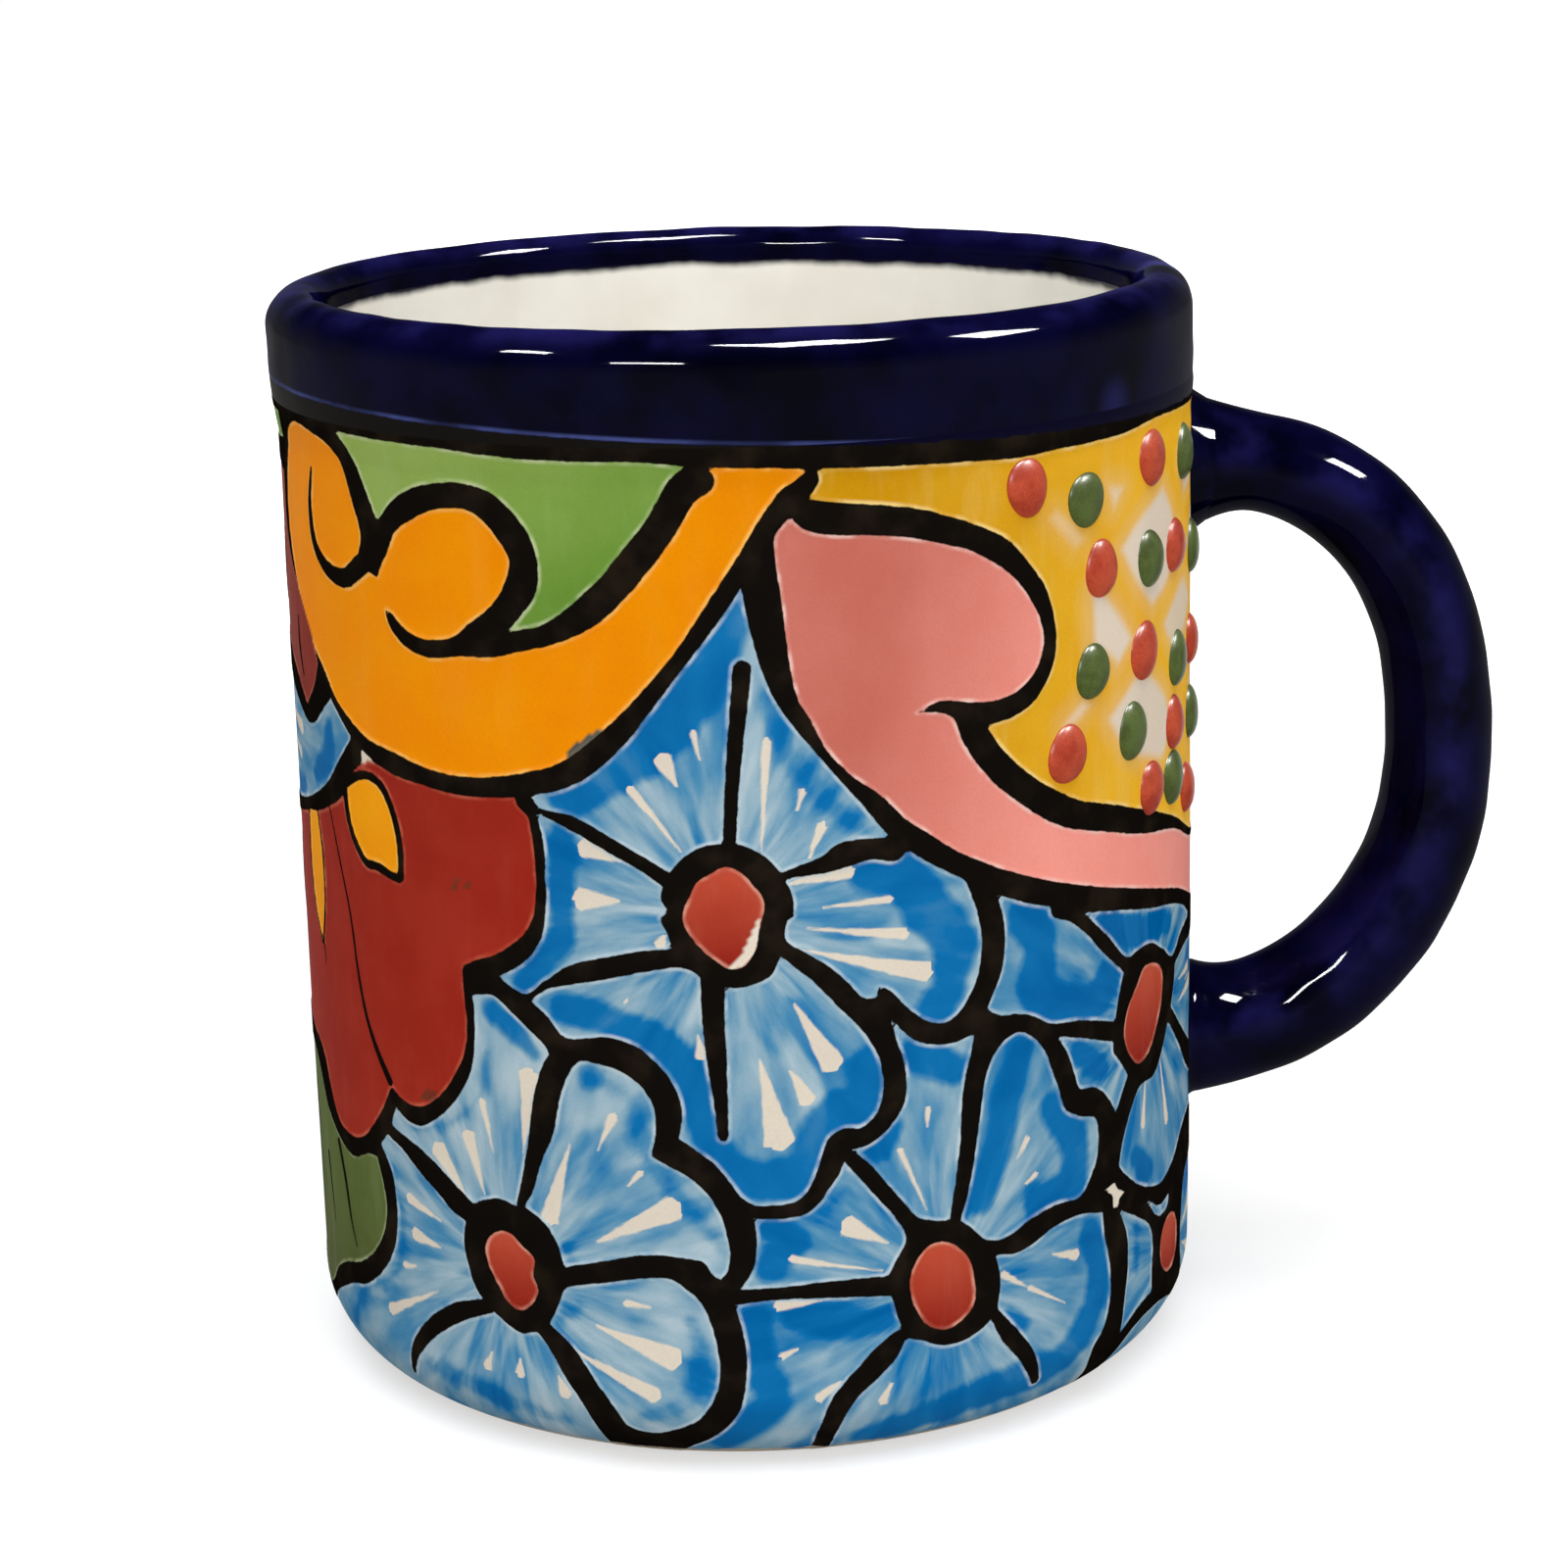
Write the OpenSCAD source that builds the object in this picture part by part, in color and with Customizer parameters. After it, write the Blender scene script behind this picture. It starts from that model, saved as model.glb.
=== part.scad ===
// Hand-painted earthenware mug: a straight cup with a rolled rim, a pulled handle luted on with slip,
// thin glaze coats over the clay, and rows of raised slip dots beside the handle.
// The foot stands on z = 0, the cup's axis is Z and the handle reaches out along +X. Lengths are in mm.

/* [Cup] */
// Height of the mug from the foot to the top of the glazed lip
cup_h = 109; // [100:1:125]
// Diameter across the glazed wall
cup_d = 91.2; // [80:0.2:100]
// Thickness of the clay wall
wall_t = 4.2; // [3.5:0.1:6]
// Height of the clay floor, inside, above the foot
floor_t = 6.5; // [5:0.1:10]
// Radius of the heel between the wall and the foot
heel_r = 8; // [5:0.1:12]
// Radius of the corner inside, between the wall and the floor
bowl_r = 7; // [4:0.1:14]
// Width of the flat ring that the mug stands on
foot_w = 6; // [4:0.1:10]
// Depth of the hollow inside that ring
foot_hollow = 1.2; // [0.5:0.1:2]

/* [Rim] */
// How far the rolled rim stands proud of the wall
rim_proud = 0.5; // [0.3:0.1:1]
// Height, below the lip, at which the roll reaches its full size
rim_roll_h = 6.5; // [5:0.1:9]
// Height over which the roll fades into the wall below that
rim_fade_h = 7; // [4:0.1:9]
// Radius of the lip's outer edge, in clay
lip_r = 3; // [2.5:0.1:3.4]
// Height of the cobalt coat outside, below the lip
band_h = 10; // [8:0.1:14]
// Height of the cobalt coat inside, below the lip
band_inside_h = 3.4; // [3:0.1:8]

/* [Glaze] */
// Thickness of every glaze coat
glaze_t = 0.45; // [0.2:0.05:0.6]
// Height of the clay left bare at the foot
bare_foot_h = 0.8; // [0.5:0.1:4]

/* [Handle] */
// Distance from the lip down to the middle of the upper root
handle_drop = 20; // [18:0.5:24]
// Distance from the middle of the upper root to the middle of the lower one
handle_span = 60.4; // [50:0.2:68]
// Distance from the middle of the upper root down to where the loop reaches out furthest
handle_bow = 30.4; // [26:0.1:34]
// How far the middle of the clay strap reaches out from its root
handle_reach = 25.2; // [20:0.1:32]
// Width of the strap, across the loop
handle_w = 12.8; // [10:0.1:16]
// Thickness of the strap at its upper end
handle_top_t = 8.8; // [7:0.1:12]
// Thickness of the strap at its lower end
handle_low_t = 11.2; // [8:0.1:14]
// How much the upper root flares out above and below
upper_flare = 1.6; // [0.5:0.1:2]
// How much the lower root flares out above and below
lower_flare = 0.8; // [0.5:0.1:2]
// How much each root flares out to both sides
side_flare = 0.8; // [0.4:0.1:1]
// Distance from the root over which the flare dies away
flare_len = 7; // [4:0.1:10]
// Length of the straight root between the glazed wall and the loop
root_land = 1; // [0.5:0.1:2]
// Thickness of the slip that lutes each root to the wall
slip_t = 0.8; // [0.4:0.1:1.5]

/* [Dots] */
// Diameter of a dot where it sits on the glaze
dot_d = 5.2; // [3:0.1:5.4]
// Height of a dot above the glaze
dot_h = 1.2; // [0.5:0.1:1.6]
// Distance from the cobalt band down to the first row of dots
dot_drop = 5.8; // [5:0.1:10]
// Distance from one row down to the next
dot_pitch = 8.4; // [7:0.1:9]
// How much lower each dot sits than the one farther from the handle
dot_fall = 0.55; // [0:0.05:1]
// Angle, in degrees, from the handle to the nearest column of dots
dot_angle = 10; // [10:0.5:14]
// Angle, in degrees, between two columns
dot_step = 11.2; // [10:0.1:14]

/* [Hidden] */

$fn = 96;
// Round walls that small pieces sit on are drawn with this many sides
wall_sides = 360;

// Cuts run past the clay by this much
overrun = 1;
// A flat-sided handle end stands off the round wall by this much
seat_gap = 0.02;

// Radii and heights of the clay under the coats
cup_r = cup_d / 2;
wall_r = cup_r - glaze_t;
inner_r = wall_r - wall_t;
clay_h = cup_h - glaze_t;
rim_r = wall_r + rim_proud;
rim_z = cup_h - rim_roll_h;
roll_r = (rim_fade_h * rim_fade_h + rim_proud * rim_proud) / (2 * rim_proud);
lip_mid_r = rim_r - lip_r;
lip_in_r = lip_mid_r - inner_r;
band_z = cup_h - band_h;
band_inside_z = cup_h - band_inside_h;
foot_r = wall_r - heel_r;
foot_in_r = foot_r - foot_w;

// Levels of the handle, and where its loop starts
upper_z = cup_h - handle_drop;
lower_z = upper_z - handle_span;
bow_z = upper_z - handle_bow;
root_x = cup_r + root_land;
// A loop is a half ellipse at 2 and squarer above that
upper_squareness = 2.3;
lower_squareness = 2;
// Number of sections along the loop, and of sides round each
loop_steps = 40;
strap_sides = 24;

// Where each dot was set by hand, counted in columns from the handle and in rows from the first one down
red_dot_place_shares = [
  [4, 0], [1.85, -0.15], [2.9, 1], [1.15, 0.95], [2.05, 2.05],
  [0.2, 2.2], [3.45, 3.05], [1.15, 3.05], [1.85, 3.7], [0.55, 3.95]
];
green_dot_place_shares = [
  [3.15, 0.2], [0.75, -0.1], [1.9, 1], [0.1, 1.1], [3.05, 2.15],
  [1.05, 2.3], [2.3, 2.95], [0.2, 3.1], [1.2, 3.7]
];
dot_last_column = 4;
dot_base_r = dot_d / 2;
dot_ball_r = (dot_base_r * dot_base_r + dot_h * dot_h) / (2 * dot_h);

// Half section of everything within the cup's outside, with its coat g thick
module outside_section(g) {
  square([foot_r, clay_h + g]);
  translate([foot_r, heel_r])
    circle(heel_r + g);
  translate([0, heel_r])
    square([wall_r + g, rim_z - heel_r]);
  intersection() {
    translate([rim_r - roll_r, rim_z])
      circle(roll_r + g);
    translate([lip_mid_r, rim_z - rim_fade_h])
      square([roll_r, rim_fade_h]);
  }
  translate([0, rim_z])
    square([rim_r + g, clay_h - lip_r - rim_z]);
  translate([lip_mid_r, clay_h - lip_r])
    circle(lip_r + g);
  translate([0, rim_z])
    square([lip_mid_r, clay_h - rim_z + g]);
}

// Half section of the hollow inside the cup, narrowed by a coat g thick
module hollow_section(g) {
  translate([0, floor_t + bowl_r])
    square([inner_r - g, cup_h + overrun - floor_t - bowl_r]);
  translate([0, floor_t + g])
    square([inner_r - bowl_r, bowl_r]);
  translate([inner_r - bowl_r, floor_t + bowl_r])
    circle(bowl_r - g);
  difference() {
    translate([0, clay_h - lip_in_r])
      square([lip_mid_r, lip_in_r + glaze_t + overrun]);
    translate([lip_mid_r, clay_h - lip_in_r])
      circle(lip_in_r + g);
  }
}

// Half section of the cup with coats g thick, down to the foot's own plane
module cup_section(g) {
  intersection() {
    difference() {
      outside_section(g);
      hollow_section(g);
    }
    square([cup_d, cup_h + overrun]);
  }
}

// Half section of the hollow under the floor, with sloping sides
module foot_hollow_section() {
  polygon([
    [0, 0],
    [foot_in_r, 0],
    [foot_in_r - foot_hollow, foot_hollow],
    [0, foot_hollow]
  ]);
}

// Half section of the space that the cobalt coat takes, over the lip
module band_zone_section() {
  translate([lip_mid_r, band_z])
    square([cup_r, band_h + overrun]);
  translate([0, band_inside_z])
    square([lip_mid_r, band_inside_h + overrun]);
}

// Place t along the loop runs from 0 at the upper root to 1 at the lower one
function turn(t) = 90 - 180 * t;
function squareness(t) = t < 0.5 ? upper_squareness : lower_squareness;
function half_span(t) = t < 0.5 ? upper_z - bow_z : bow_z - lower_z;
function curved(v, power) = sign(v) * pow(abs(v), power);

// Middle of the strap at t, as a distance from the axis and a height
function strap_x(t) = root_x + handle_reach * curved(cos(turn(t)), 2 / squareness(t));
function strap_z(t) = bow_z + half_span(t) * curved(sin(turn(t)), 2 / squareness(t));

// Direction square to the loop at t, away from the fingers
function strap_out(t) =
  let (
    power = 2 - 2 / squareness(t),
    out = [curved(cos(turn(t)), power) / handle_reach, curved(sin(turn(t)), power) / half_span(t)]
  )
  out / norm(out);

// Half sizes of the strap at t, with a coat g thick
function flare_share(t) = pow(max(0, 1 - (strap_x(t) - root_x) / flare_len), 2);
function root_flare(t) = t < 0.5 ? upper_flare : lower_flare;
function strap_thickness(t) = handle_top_t * (1 - t) + handle_low_t * t;
function half_thickness(t, g) = strap_thickness(t) / 2 + root_flare(t) * flare_share(t) + g;
function half_width(t, g) = handle_w / 2 + side_flare * flare_share(t) + g;

// Points of the oval section at t
function side_angle(k) = 360 * k / strap_sides - 90;
function section_point(t, g, k) =
  let (
    out = strap_out(t) * half_thickness(t, g) * cos(side_angle(k))
  )
  [strap_x(t) + out[0], half_width(t, g) * sin(side_angle(k)), strap_z(t) + out[1]];
function section_ring(t, g) = [for (k = [0:strap_sides - 1]) section_point(t, g, k)];

// The same section pushed along X on to a round wall of radius r
function scribed_ring(t, g, r) =
  [for (p = section_ring(t, g)) [sqrt(r * r - p[1] * p[1]), p[1], p[2]]];

// All sections of the handle, end to end
function strap_points(g, r) = concat(
  scribed_ring(0, g, r),
  [for (i = [0:loop_steps], p = section_ring(i / loop_steps, g)) p],
  scribed_ring(1, g, r)
);
strap_rings = loop_steps + 3;

// Triangles of the long sides of those sections, starting at a point number, facing out
function side_faces(first) = [
  for (i = [0:strap_rings - 2], k = [0:strap_sides - 1], half = [0, 1])
    let (
      a = first + i * strap_sides + k,
      b = first + i * strap_sides + (k + 1) % strap_sides,
      c = b + strap_sides,
      d = a + strap_sides
    )
    half == 0 ? [a, b, c] : [a, c, d]
];

// Triangles that close a section, in strips that follow the round wall
function end_faces(first) = [
  for (k = [0:strap_sides / 2 - 1], half = [0, 1])
    let (
      across = strap_sides - k,
      next = across - 1
    )
    if (half == 0 ? next > k + 1 : k > 0)
      half == 0 ? [first + k, first + next, first + k + 1] : [first + k, first + across, first + next]
];

// Triangles that close the gap between an outer and an inner section
function edge_faces(outer, inner) = [
  for (k = [0:strap_sides - 1], half = [0, 1])
    let (
      next = (k + 1) % strap_sides
    )
    half == 0 ? [outer + k, inner + next, outer + next] : [outer + k, inner + k, inner + next]
];

function turned(faces) = [for (f = faces) [f[2], f[1], f[0]]];

// Bar along X with the outline of the handle's root at t, from the axis out past the glaze
module root_bar(t, g) {
  rotate([90, 0, 90])
    linear_extrude(cup_r + overrun)
      polygon([for (p = section_ring(t, g)) [p[1], p[2]]]);
}

// Saddle of slip between the wall and the handle's root at t
module slip_saddle(t) {
  difference() {
    intersection() {
      cylinder(h = cup_h, r = wall_r + slip_t, $fn = wall_sides);
      root_bar(t, 0);
    }
    cylinder(h = cup_h, r = wall_r, $fn = wall_sides);
  }
}

// Dots of one colour, on both sides of the handle
module dots(place_shares) {
  difference() {
    for (side = [-1, 1], place = place_shares) {
      rotate([0, 0, side * (dot_angle + dot_step * place[0])])
        translate([
          cup_r + dot_h - dot_ball_r,
          0,
          band_z - dot_drop - dot_pitch * place[1] - dot_fall * (dot_last_column - place[0])
        ])
          sphere(dot_ball_r);
    }
    cylinder(h = cup_h, r = cup_r, $fn = wall_sides);
  }
}

module cup_body() {
  color("peru")
    rotate_extrude()
      difference() {
        cup_section(0);
        foot_hollow_section();
      }
}

module handle() {
  points = strap_points(0, wall_r + slip_t + seat_gap);
  last = (strap_rings - 1) * strap_sides;
  color("peru")
    polyhedron(
      points = points,
      faces = concat(side_faces(0), end_faces(0), turned(end_faces(last)))
    );
}

module upper_slip() {
  color("sienna")
    slip_saddle(0);
}

module lower_slip() {
  color("sienna")
    slip_saddle(1);
}

module lining_glaze() {
  color("ivory")
    rotate_extrude()
      intersection() {
        difference() {
          hollow_section(0);
          hollow_section(glaze_t);
        }
        square([lip_mid_r, band_inside_z]);
      }
}

module wall_glaze() {
  color("darkorange")
    difference() {
      rotate_extrude()
        intersection() {
          difference() {
            outside_section(glaze_t);
            outside_section(0);
          }
          translate([0, bare_foot_h])
            square([cup_d, band_z - bare_foot_h]);
        }
      root_bar(0, glaze_t);
      root_bar(1, glaze_t);
    }
}

module rim_glaze() {
  color("midnightblue")
    rotate_extrude()
      intersection() {
        difference() {
          cup_section(glaze_t);
          cup_section(0);
        }
        band_zone_section();
      }
}

module handle_glaze() {
  wall_seat_r = wall_r + seat_gap;
  inner = strap_rings * strap_sides;
  last = inner - strap_sides;
  color("midnightblue")
    polyhedron(
      points = concat(strap_points(glaze_t, wall_seat_r), strap_points(0, wall_seat_r)),
      faces = concat(
        side_faces(0),
        turned(side_faces(inner)),
        edge_faces(0, inner),
        turned(edge_faces(last, inner + last))
      )
    );
}

module red_dots() {
  color("firebrick")
    dots(red_dot_place_shares);
}

module green_dots() {
  color("darkolivegreen")
    dots(green_dot_place_shares);
}

cup_body();
handle();
upper_slip();
lower_slip();
lining_glaze();
wall_glaze();
rim_glaze();
handle_glaze();
red_dots();
green_dots();
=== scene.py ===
# %% [markdown]
# # A painted earthenware mug
# The mug is a straight cup of buff clay with a rolled rim and a pulled handle. Thin coats of glaze
# hide the clay: cream inside, near-black cobalt on the rim and handle, and a painted coat round the wall.
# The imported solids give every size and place. This lesson dresses them: each coat becomes a finer mesh
# that sits exactly where its solid sits, and gets a material built from nodes.

# %% Frame
import bpy
import math
import numpy as np
from mathutils import Matrix, Vector


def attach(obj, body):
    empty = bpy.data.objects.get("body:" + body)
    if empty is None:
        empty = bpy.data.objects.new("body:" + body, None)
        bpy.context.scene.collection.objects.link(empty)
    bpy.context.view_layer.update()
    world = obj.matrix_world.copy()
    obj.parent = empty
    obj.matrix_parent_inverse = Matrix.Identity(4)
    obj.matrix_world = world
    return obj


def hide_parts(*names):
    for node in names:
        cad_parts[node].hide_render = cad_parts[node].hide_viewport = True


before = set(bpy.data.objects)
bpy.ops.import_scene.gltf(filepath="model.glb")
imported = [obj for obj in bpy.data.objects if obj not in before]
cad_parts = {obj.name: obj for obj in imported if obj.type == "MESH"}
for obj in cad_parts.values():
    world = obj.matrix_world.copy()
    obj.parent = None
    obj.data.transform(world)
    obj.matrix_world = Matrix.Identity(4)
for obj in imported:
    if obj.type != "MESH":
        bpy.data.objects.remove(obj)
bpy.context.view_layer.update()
MM = 0.001
print("solids:", sorted(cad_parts))

# %% [markdown]
# ## Sizes
# Every size below is a size of the solids, in millimetres. The wall, the rim and the lining are all one
# turned profile, so a few radii and heights describe them. The handle is a half loop, squarer at the top.

# %% Sizes of the solids
CUP_H = 109
CUP_R = 45.6
GLAZE_T = 0.45
WALL_R = CUP_R - GLAZE_T
INNER_R = WALL_R - 4.2
CLAY_H = CUP_H - GLAZE_T
FLOOR_Z = 6.5
HEEL_R = 8
BOWL_R = 7
FOOT_R = WALL_R - HEEL_R
BARE_FOOT_H = 0.8
RIM_PROUD = 0.5
RIM_R = WALL_R + RIM_PROUD
RIM_Z = CUP_H - 6.5
RIM_FADE_H = 7
ROLL_R = (RIM_FADE_H ** 2 + RIM_PROUD ** 2) / (2 * RIM_PROUD)
LIP_R = 3
LIP_MID_R = RIM_R - LIP_R
LIP_IN_R = LIP_MID_R - INNER_R
BAND_Z = CUP_H - 10
BAND_INSIDE_Z = CUP_H - 3.4

UPPER_Z = CUP_H - 20
LOWER_Z = UPPER_Z - 60.4
BOW_Z = UPPER_Z - 30.4
ROOT_X = CUP_R + 1
HANDLE_REACH = 25.2
HANDLE_W = 12.8
HANDLE_TOP_T = 8.8
HANDLE_LOW_T = 11.2
UPPER_FLARE = 1.6
LOWER_FLARE = 0.8
SIDE_FLARE = 0.8
FLARE_LEN = 7
UPPER_SQUARENESS = 2.3
LOWER_SQUARENESS = 2

DOT_D = 5.2
DOT_H = 1.2
DOT_DROP = 5.8
DOT_PITCH = 8.4
DOT_FALL = 0.55
DOT_ANGLE = 10
DOT_STEP = 11.2
DOT_LAST_COLUMN = 4
RED_DOT_PLACES = [
    (4, 0), (1.85, -0.15), (2.9, 1), (1.15, 0.95), (2.05, 2.05),
    (0.2, 2.2), (3.45, 3.05), (1.15, 3.05), (1.85, 3.7), (0.55, 3.95),
]
GREEN_DOT_PLACES = [
    (3.15, 0.2), (0.75, -0.1), (1.9, 1), (0.1, 1.1), (3.05, 2.15),
    (1.05, 2.3), (2.3, 2.95), (0.2, 3.1), (1.2, 3.7),
]
print("wall radius", CUP_R, "mm, height", CUP_H, "mm")

# %% [markdown]
# ## Camera
# The camera stands where the photographer stood: a little above the rim, looking down about 15 degrees.
# It was found by matching the rim, the foot and both sides of the wall. It comes first because the same
# rays that make the picture also carry the painted pattern from the picture to the wall.

# %% Camera
PICTURE_PX = 1600
FOCUS_PX = 3662
SENSOR_MM = 36
EYE = np.array([0.0, -359.0, 151.1])
YAW = 0.0111
PITCH = 0.2587
ROLL = -0.0243

look = np.array([math.sin(YAW) * math.cos(PITCH), math.cos(YAW) * math.cos(PITCH), -math.sin(PITCH)])
level = np.array([math.cos(YAW), -math.sin(YAW), 0.0])
upright = np.cross(level, look)
view_right = math.cos(ROLL) * level + math.sin(ROLL) * upright
view_up = -math.sin(ROLL) * level + math.cos(ROLL) * upright

camera_data = bpy.data.cameras.new("camera")
camera_data.sensor_width = SENSOR_MM
camera_data.lens = SENSOR_MM * FOCUS_PX / PICTURE_PX
camera_data.clip_start = 0.01
camera_data.clip_end = 20
camera = bpy.data.objects.new("camera", camera_data)
bpy.context.scene.collection.objects.link(camera)
turned = Matrix((view_right, view_up, -look)).transposed()
camera.matrix_world = Matrix.Translation(Vector(EYE * MM)) @ turned.to_4x4()
bpy.context.scene.camera = camera
print("lens", round(camera_data.lens, 1), "mm")

# %% [markdown]
# ## Studio
# The picture has a white ground, and the glaze mirrors a dim room with a few bright ceiling panels. Large
# soft lamps above, in front and behind do the lighting. The ceiling panels are seen only in the glaze, as
# the white dashes on the lip and handle. The world is white low down, where it serves as backdrop, and
# dim above, so that the dark glaze stays dark. The floor fades to plain white away from the mug.

# %% Studio light
def add_lamp(name, place, target, size, power):
    data = bpy.data.lights.new(name, "AREA")
    data.shape = "RECTANGLE"
    data.size = size[0]
    data.size_y = size[1]
    data.energy = power
    lamp = bpy.data.objects.new(name, data)
    lamp.location = place
    lamp.rotation_euler = (Vector(target) - Vector(place)).to_track_quat("-Z", "Y").to_euler()
    bpy.context.scene.collection.objects.link(lamp)
    return lamp


MUG_MIDDLE = (0.01, 0, 0.055)
soft_lamps = [
    add_lamp("above", (0, -0.25, 1.1), MUG_MIDDLE, (1.2, 0.9), power=14),
    add_lamp("in_front", (0.25, -1.3, 0.55), MUG_MIDDLE, (1.4, 0.9), power=8.8),
    add_lamp("behind", (-0.1, 1.2, 0.7), MUG_MIDDLE, (1.4, 0.9), power=8),
]
for lamp in soft_lamps:
    lamp.visible_glossy = False

CEILING_PANELS = {
    "panel_over": ((0.17, -0.20, 0.95), (0.34, 0.20)),
    "panel_right": ((0.85, -0.10, 0.95), (0.30, 0.26)),
    "panel_left": ((-0.75, -0.46, 0.95), (0.18, 0.12)),
    "panel_far": ((-0.72, -1.80, 0.95), (0.70, 0.14)),
}
PANEL_GLOW = 670
PANEL_TARGET = (0, 0, 0.1)
for name, (place, size) in CEILING_PANELS.items():
    panel = add_lamp(name, place, PANEL_TARGET, size, PANEL_GLOW * math.pi * size[0] * size[1])
    panel.visible_diffuse = False
print("lamps:", len(bpy.data.lights))

# %% World and floor
WHITE = (1, 1, 1, 1)
FLOOR_SIZE = 6.0
FLOOR_COLOUR = (0.45, 0.45, 0.45, 1)
WORLD_FILL = 0.32
DIM_ABOVE = 0.05
NEAR_GLOW = 0.58


def add_node(tree, kind, inputs=None, **settings):
    made = tree.nodes.new(kind)
    for name, value in settings.items():
        setattr(made, name, value)
    for key, value in (inputs or {}).items():
        if isinstance(value, bpy.types.NodeSocket):
            tree.links.new(value, made.inputs[key])
        else:
            made.inputs[key].default_value = value
    return made


def math_node(tree, operation, first, second=0.0, clamp=False):
    inputs = {0: first, 1: second}
    return add_node(tree, "ShaderNodeMath", inputs, operation=operation, use_clamp=clamp).outputs[0]


def seen_directly(tree):
    """1 for rays from the camera, from a mirror or through glass."""
    path = add_node(tree, "ShaderNodeLightPath")
    either = math_node(tree, "MAXIMUM", path.outputs["Is Camera Ray"], path.outputs["Is Glossy Ray"])
    return math_node(tree, "MAXIMUM", either, path.outputs["Is Transmission Ray"])


world = bpy.data.worlds.new("studio")
bpy.context.scene.world = world
world.use_nodes = True
sky = world.node_tree
sky.nodes.clear()
direction = add_node(sky, "ShaderNodeTexCoord").outputs["Generated"]
height = add_node(sky, "ShaderNodeSeparateXYZ", {0: direction}).outputs["Z"]
backdrop = add_node(sky, "ShaderNodeMapRange", {"Value": height, "From Min": 0.05, "From Max": 0.4})
backdrop.inputs["To Min"].default_value = 1.0
backdrop.inputs["To Max"].default_value = DIM_ABOVE
fill_inputs = {"Factor": seen_directly(sky), "A": WORLD_FILL, "B": backdrop.outputs[0]}
fill = add_node(sky, "ShaderNodeMix", fill_inputs)
ground = add_node(sky, "ShaderNodeBackground", {"Color": WHITE, "Strength": fill.outputs[0]})
add_node(sky, "ShaderNodeOutputWorld", {"Surface": ground.outputs[0]})

floor_mesh = bpy.data.meshes.new("floor")
half = FLOOR_SIZE / 2
floor_corners = [(-half, -half, 0), (half, -half, 0), (half, half, 0), (-half, half, 0)]
floor_mesh.from_pydata(floor_corners, [], [(0, 1, 2, 3)])
floor = bpy.data.objects.new("floor", floor_mesh)
bpy.context.scene.collection.objects.link(floor)
paper = bpy.data.materials.new("floor_paper")
paper.use_nodes = True
tree = paper.node_tree
shader = tree.nodes["Principled BSDF"]
shader.inputs["Base Color"].default_value = FLOOR_COLOUR
shader.inputs["Roughness"].default_value = 0.9
shader.inputs["Specular IOR Level"].default_value = 0
spot_on_floor = add_node(tree, "ShaderNodeTexCoord").outputs["Object"]
from_mug = add_node(tree, "ShaderNodeVectorMath", {0: spot_on_floor}, operation="LENGTH").outputs["Value"]
paleness = add_node(tree, "ShaderNodeMapRange", {"Value": from_mug, "From Min": 0.12, "From Max": 0.45})
paleness.inputs["To Min"].default_value = NEAR_GLOW
paleness.inputs["To Max"].default_value = 1.0
glow = math_node(tree, "MULTIPLY", paleness.outputs[0], seen_directly(tree))
tree.links.new(glow, shader.inputs["Emission Strength"])
shader.inputs["Emission Color"].default_value = WHITE
floor_mesh.materials.append(paper)
print("floor:", FLOOR_SIZE, "m wide, world:", world.name)

# %% [markdown]
# ## Turned profiles
# A potter's wheel gives the cup its shape, so the wall, rim and lining are outlines turned about the axis.
# Blender has a Screw modifier for that. Here a function makes the grid itself, because the painted coat
# needs a value at every point. A hand-thrown wall is never quite round, so each radius drifts a little.

# %% Profile helpers
DRIFT_MM = 0.16
RIM_LEAN_MM = 0.3
LEAN_FROM_Z = 94
LEAN_RISE = 8
TRUE_FOOT_Z = 2
DRIFT_RISE = 12


def drift(angle, z):
    """How far the hand-thrown wall strays from a true round, in mm."""
    slow = np.sin(2 * angle + 0.031 * z + 0.7)
    quick = np.sin(5 * angle - 0.055 * z + 2.1) * np.sin(0.09 * z + 0.4)
    lean = -RIM_LEAN_MM * np.cos(angle) * np.clip((z - LEAN_FROM_Z) / LEAN_RISE, 0, 1)
    grows = np.clip((z - TRUE_FOOT_Z) / DRIFT_RISE, 0, 1)
    return DRIFT_MM * (0.65 * slow + 0.35 * quick) * grows + lean


def outside_radius(z, coat):
    """Radius of the cup's outside at a height, with a coat that thick."""
    z = np.asarray(z, float)
    roll = RIM_R - ROLL_R + np.sqrt(np.maximum((ROLL_R + coat) ** 2 - (RIM_Z - z) ** 2, 0))
    straight = np.maximum(np.full(z.shape, WALL_R + coat), np.where(z > RIM_Z - RIM_FADE_H, roll, 0))
    below = np.clip((HEEL_R - z) / (HEEL_R + coat), 0, 1)
    heel = FOOT_R + (HEEL_R + coat) * np.sqrt(1 - below ** 2)
    return np.where(z < HEEL_R, heel, np.where(z > RIM_Z, RIM_R + coat, straight))


def arc(middle, radius, start, stop, steps):
    """Points of a round stretch, as (radius, height), between two angles in degrees."""
    turn = np.radians(np.linspace(start, stop, steps))
    return np.column_stack([middle[0] + radius * np.cos(turn), middle[1] + radius * np.sin(turn)])


def line(first, last, steps):
    share = np.linspace(0, 1, steps)[:, None]
    return np.array(first) * (1 - share) + np.array(last) * share


print("drift of the wall: up to", DRIFT_MM, "mm")

# %% Mesh helpers
SHARP_TURN = math.radians(50)
# The hidden back of a coat: how far it lies off the clay, and how many shown rows share one of its rows
HIDDEN_COAT = 0.1
HIDDEN_STEP = 6


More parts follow.
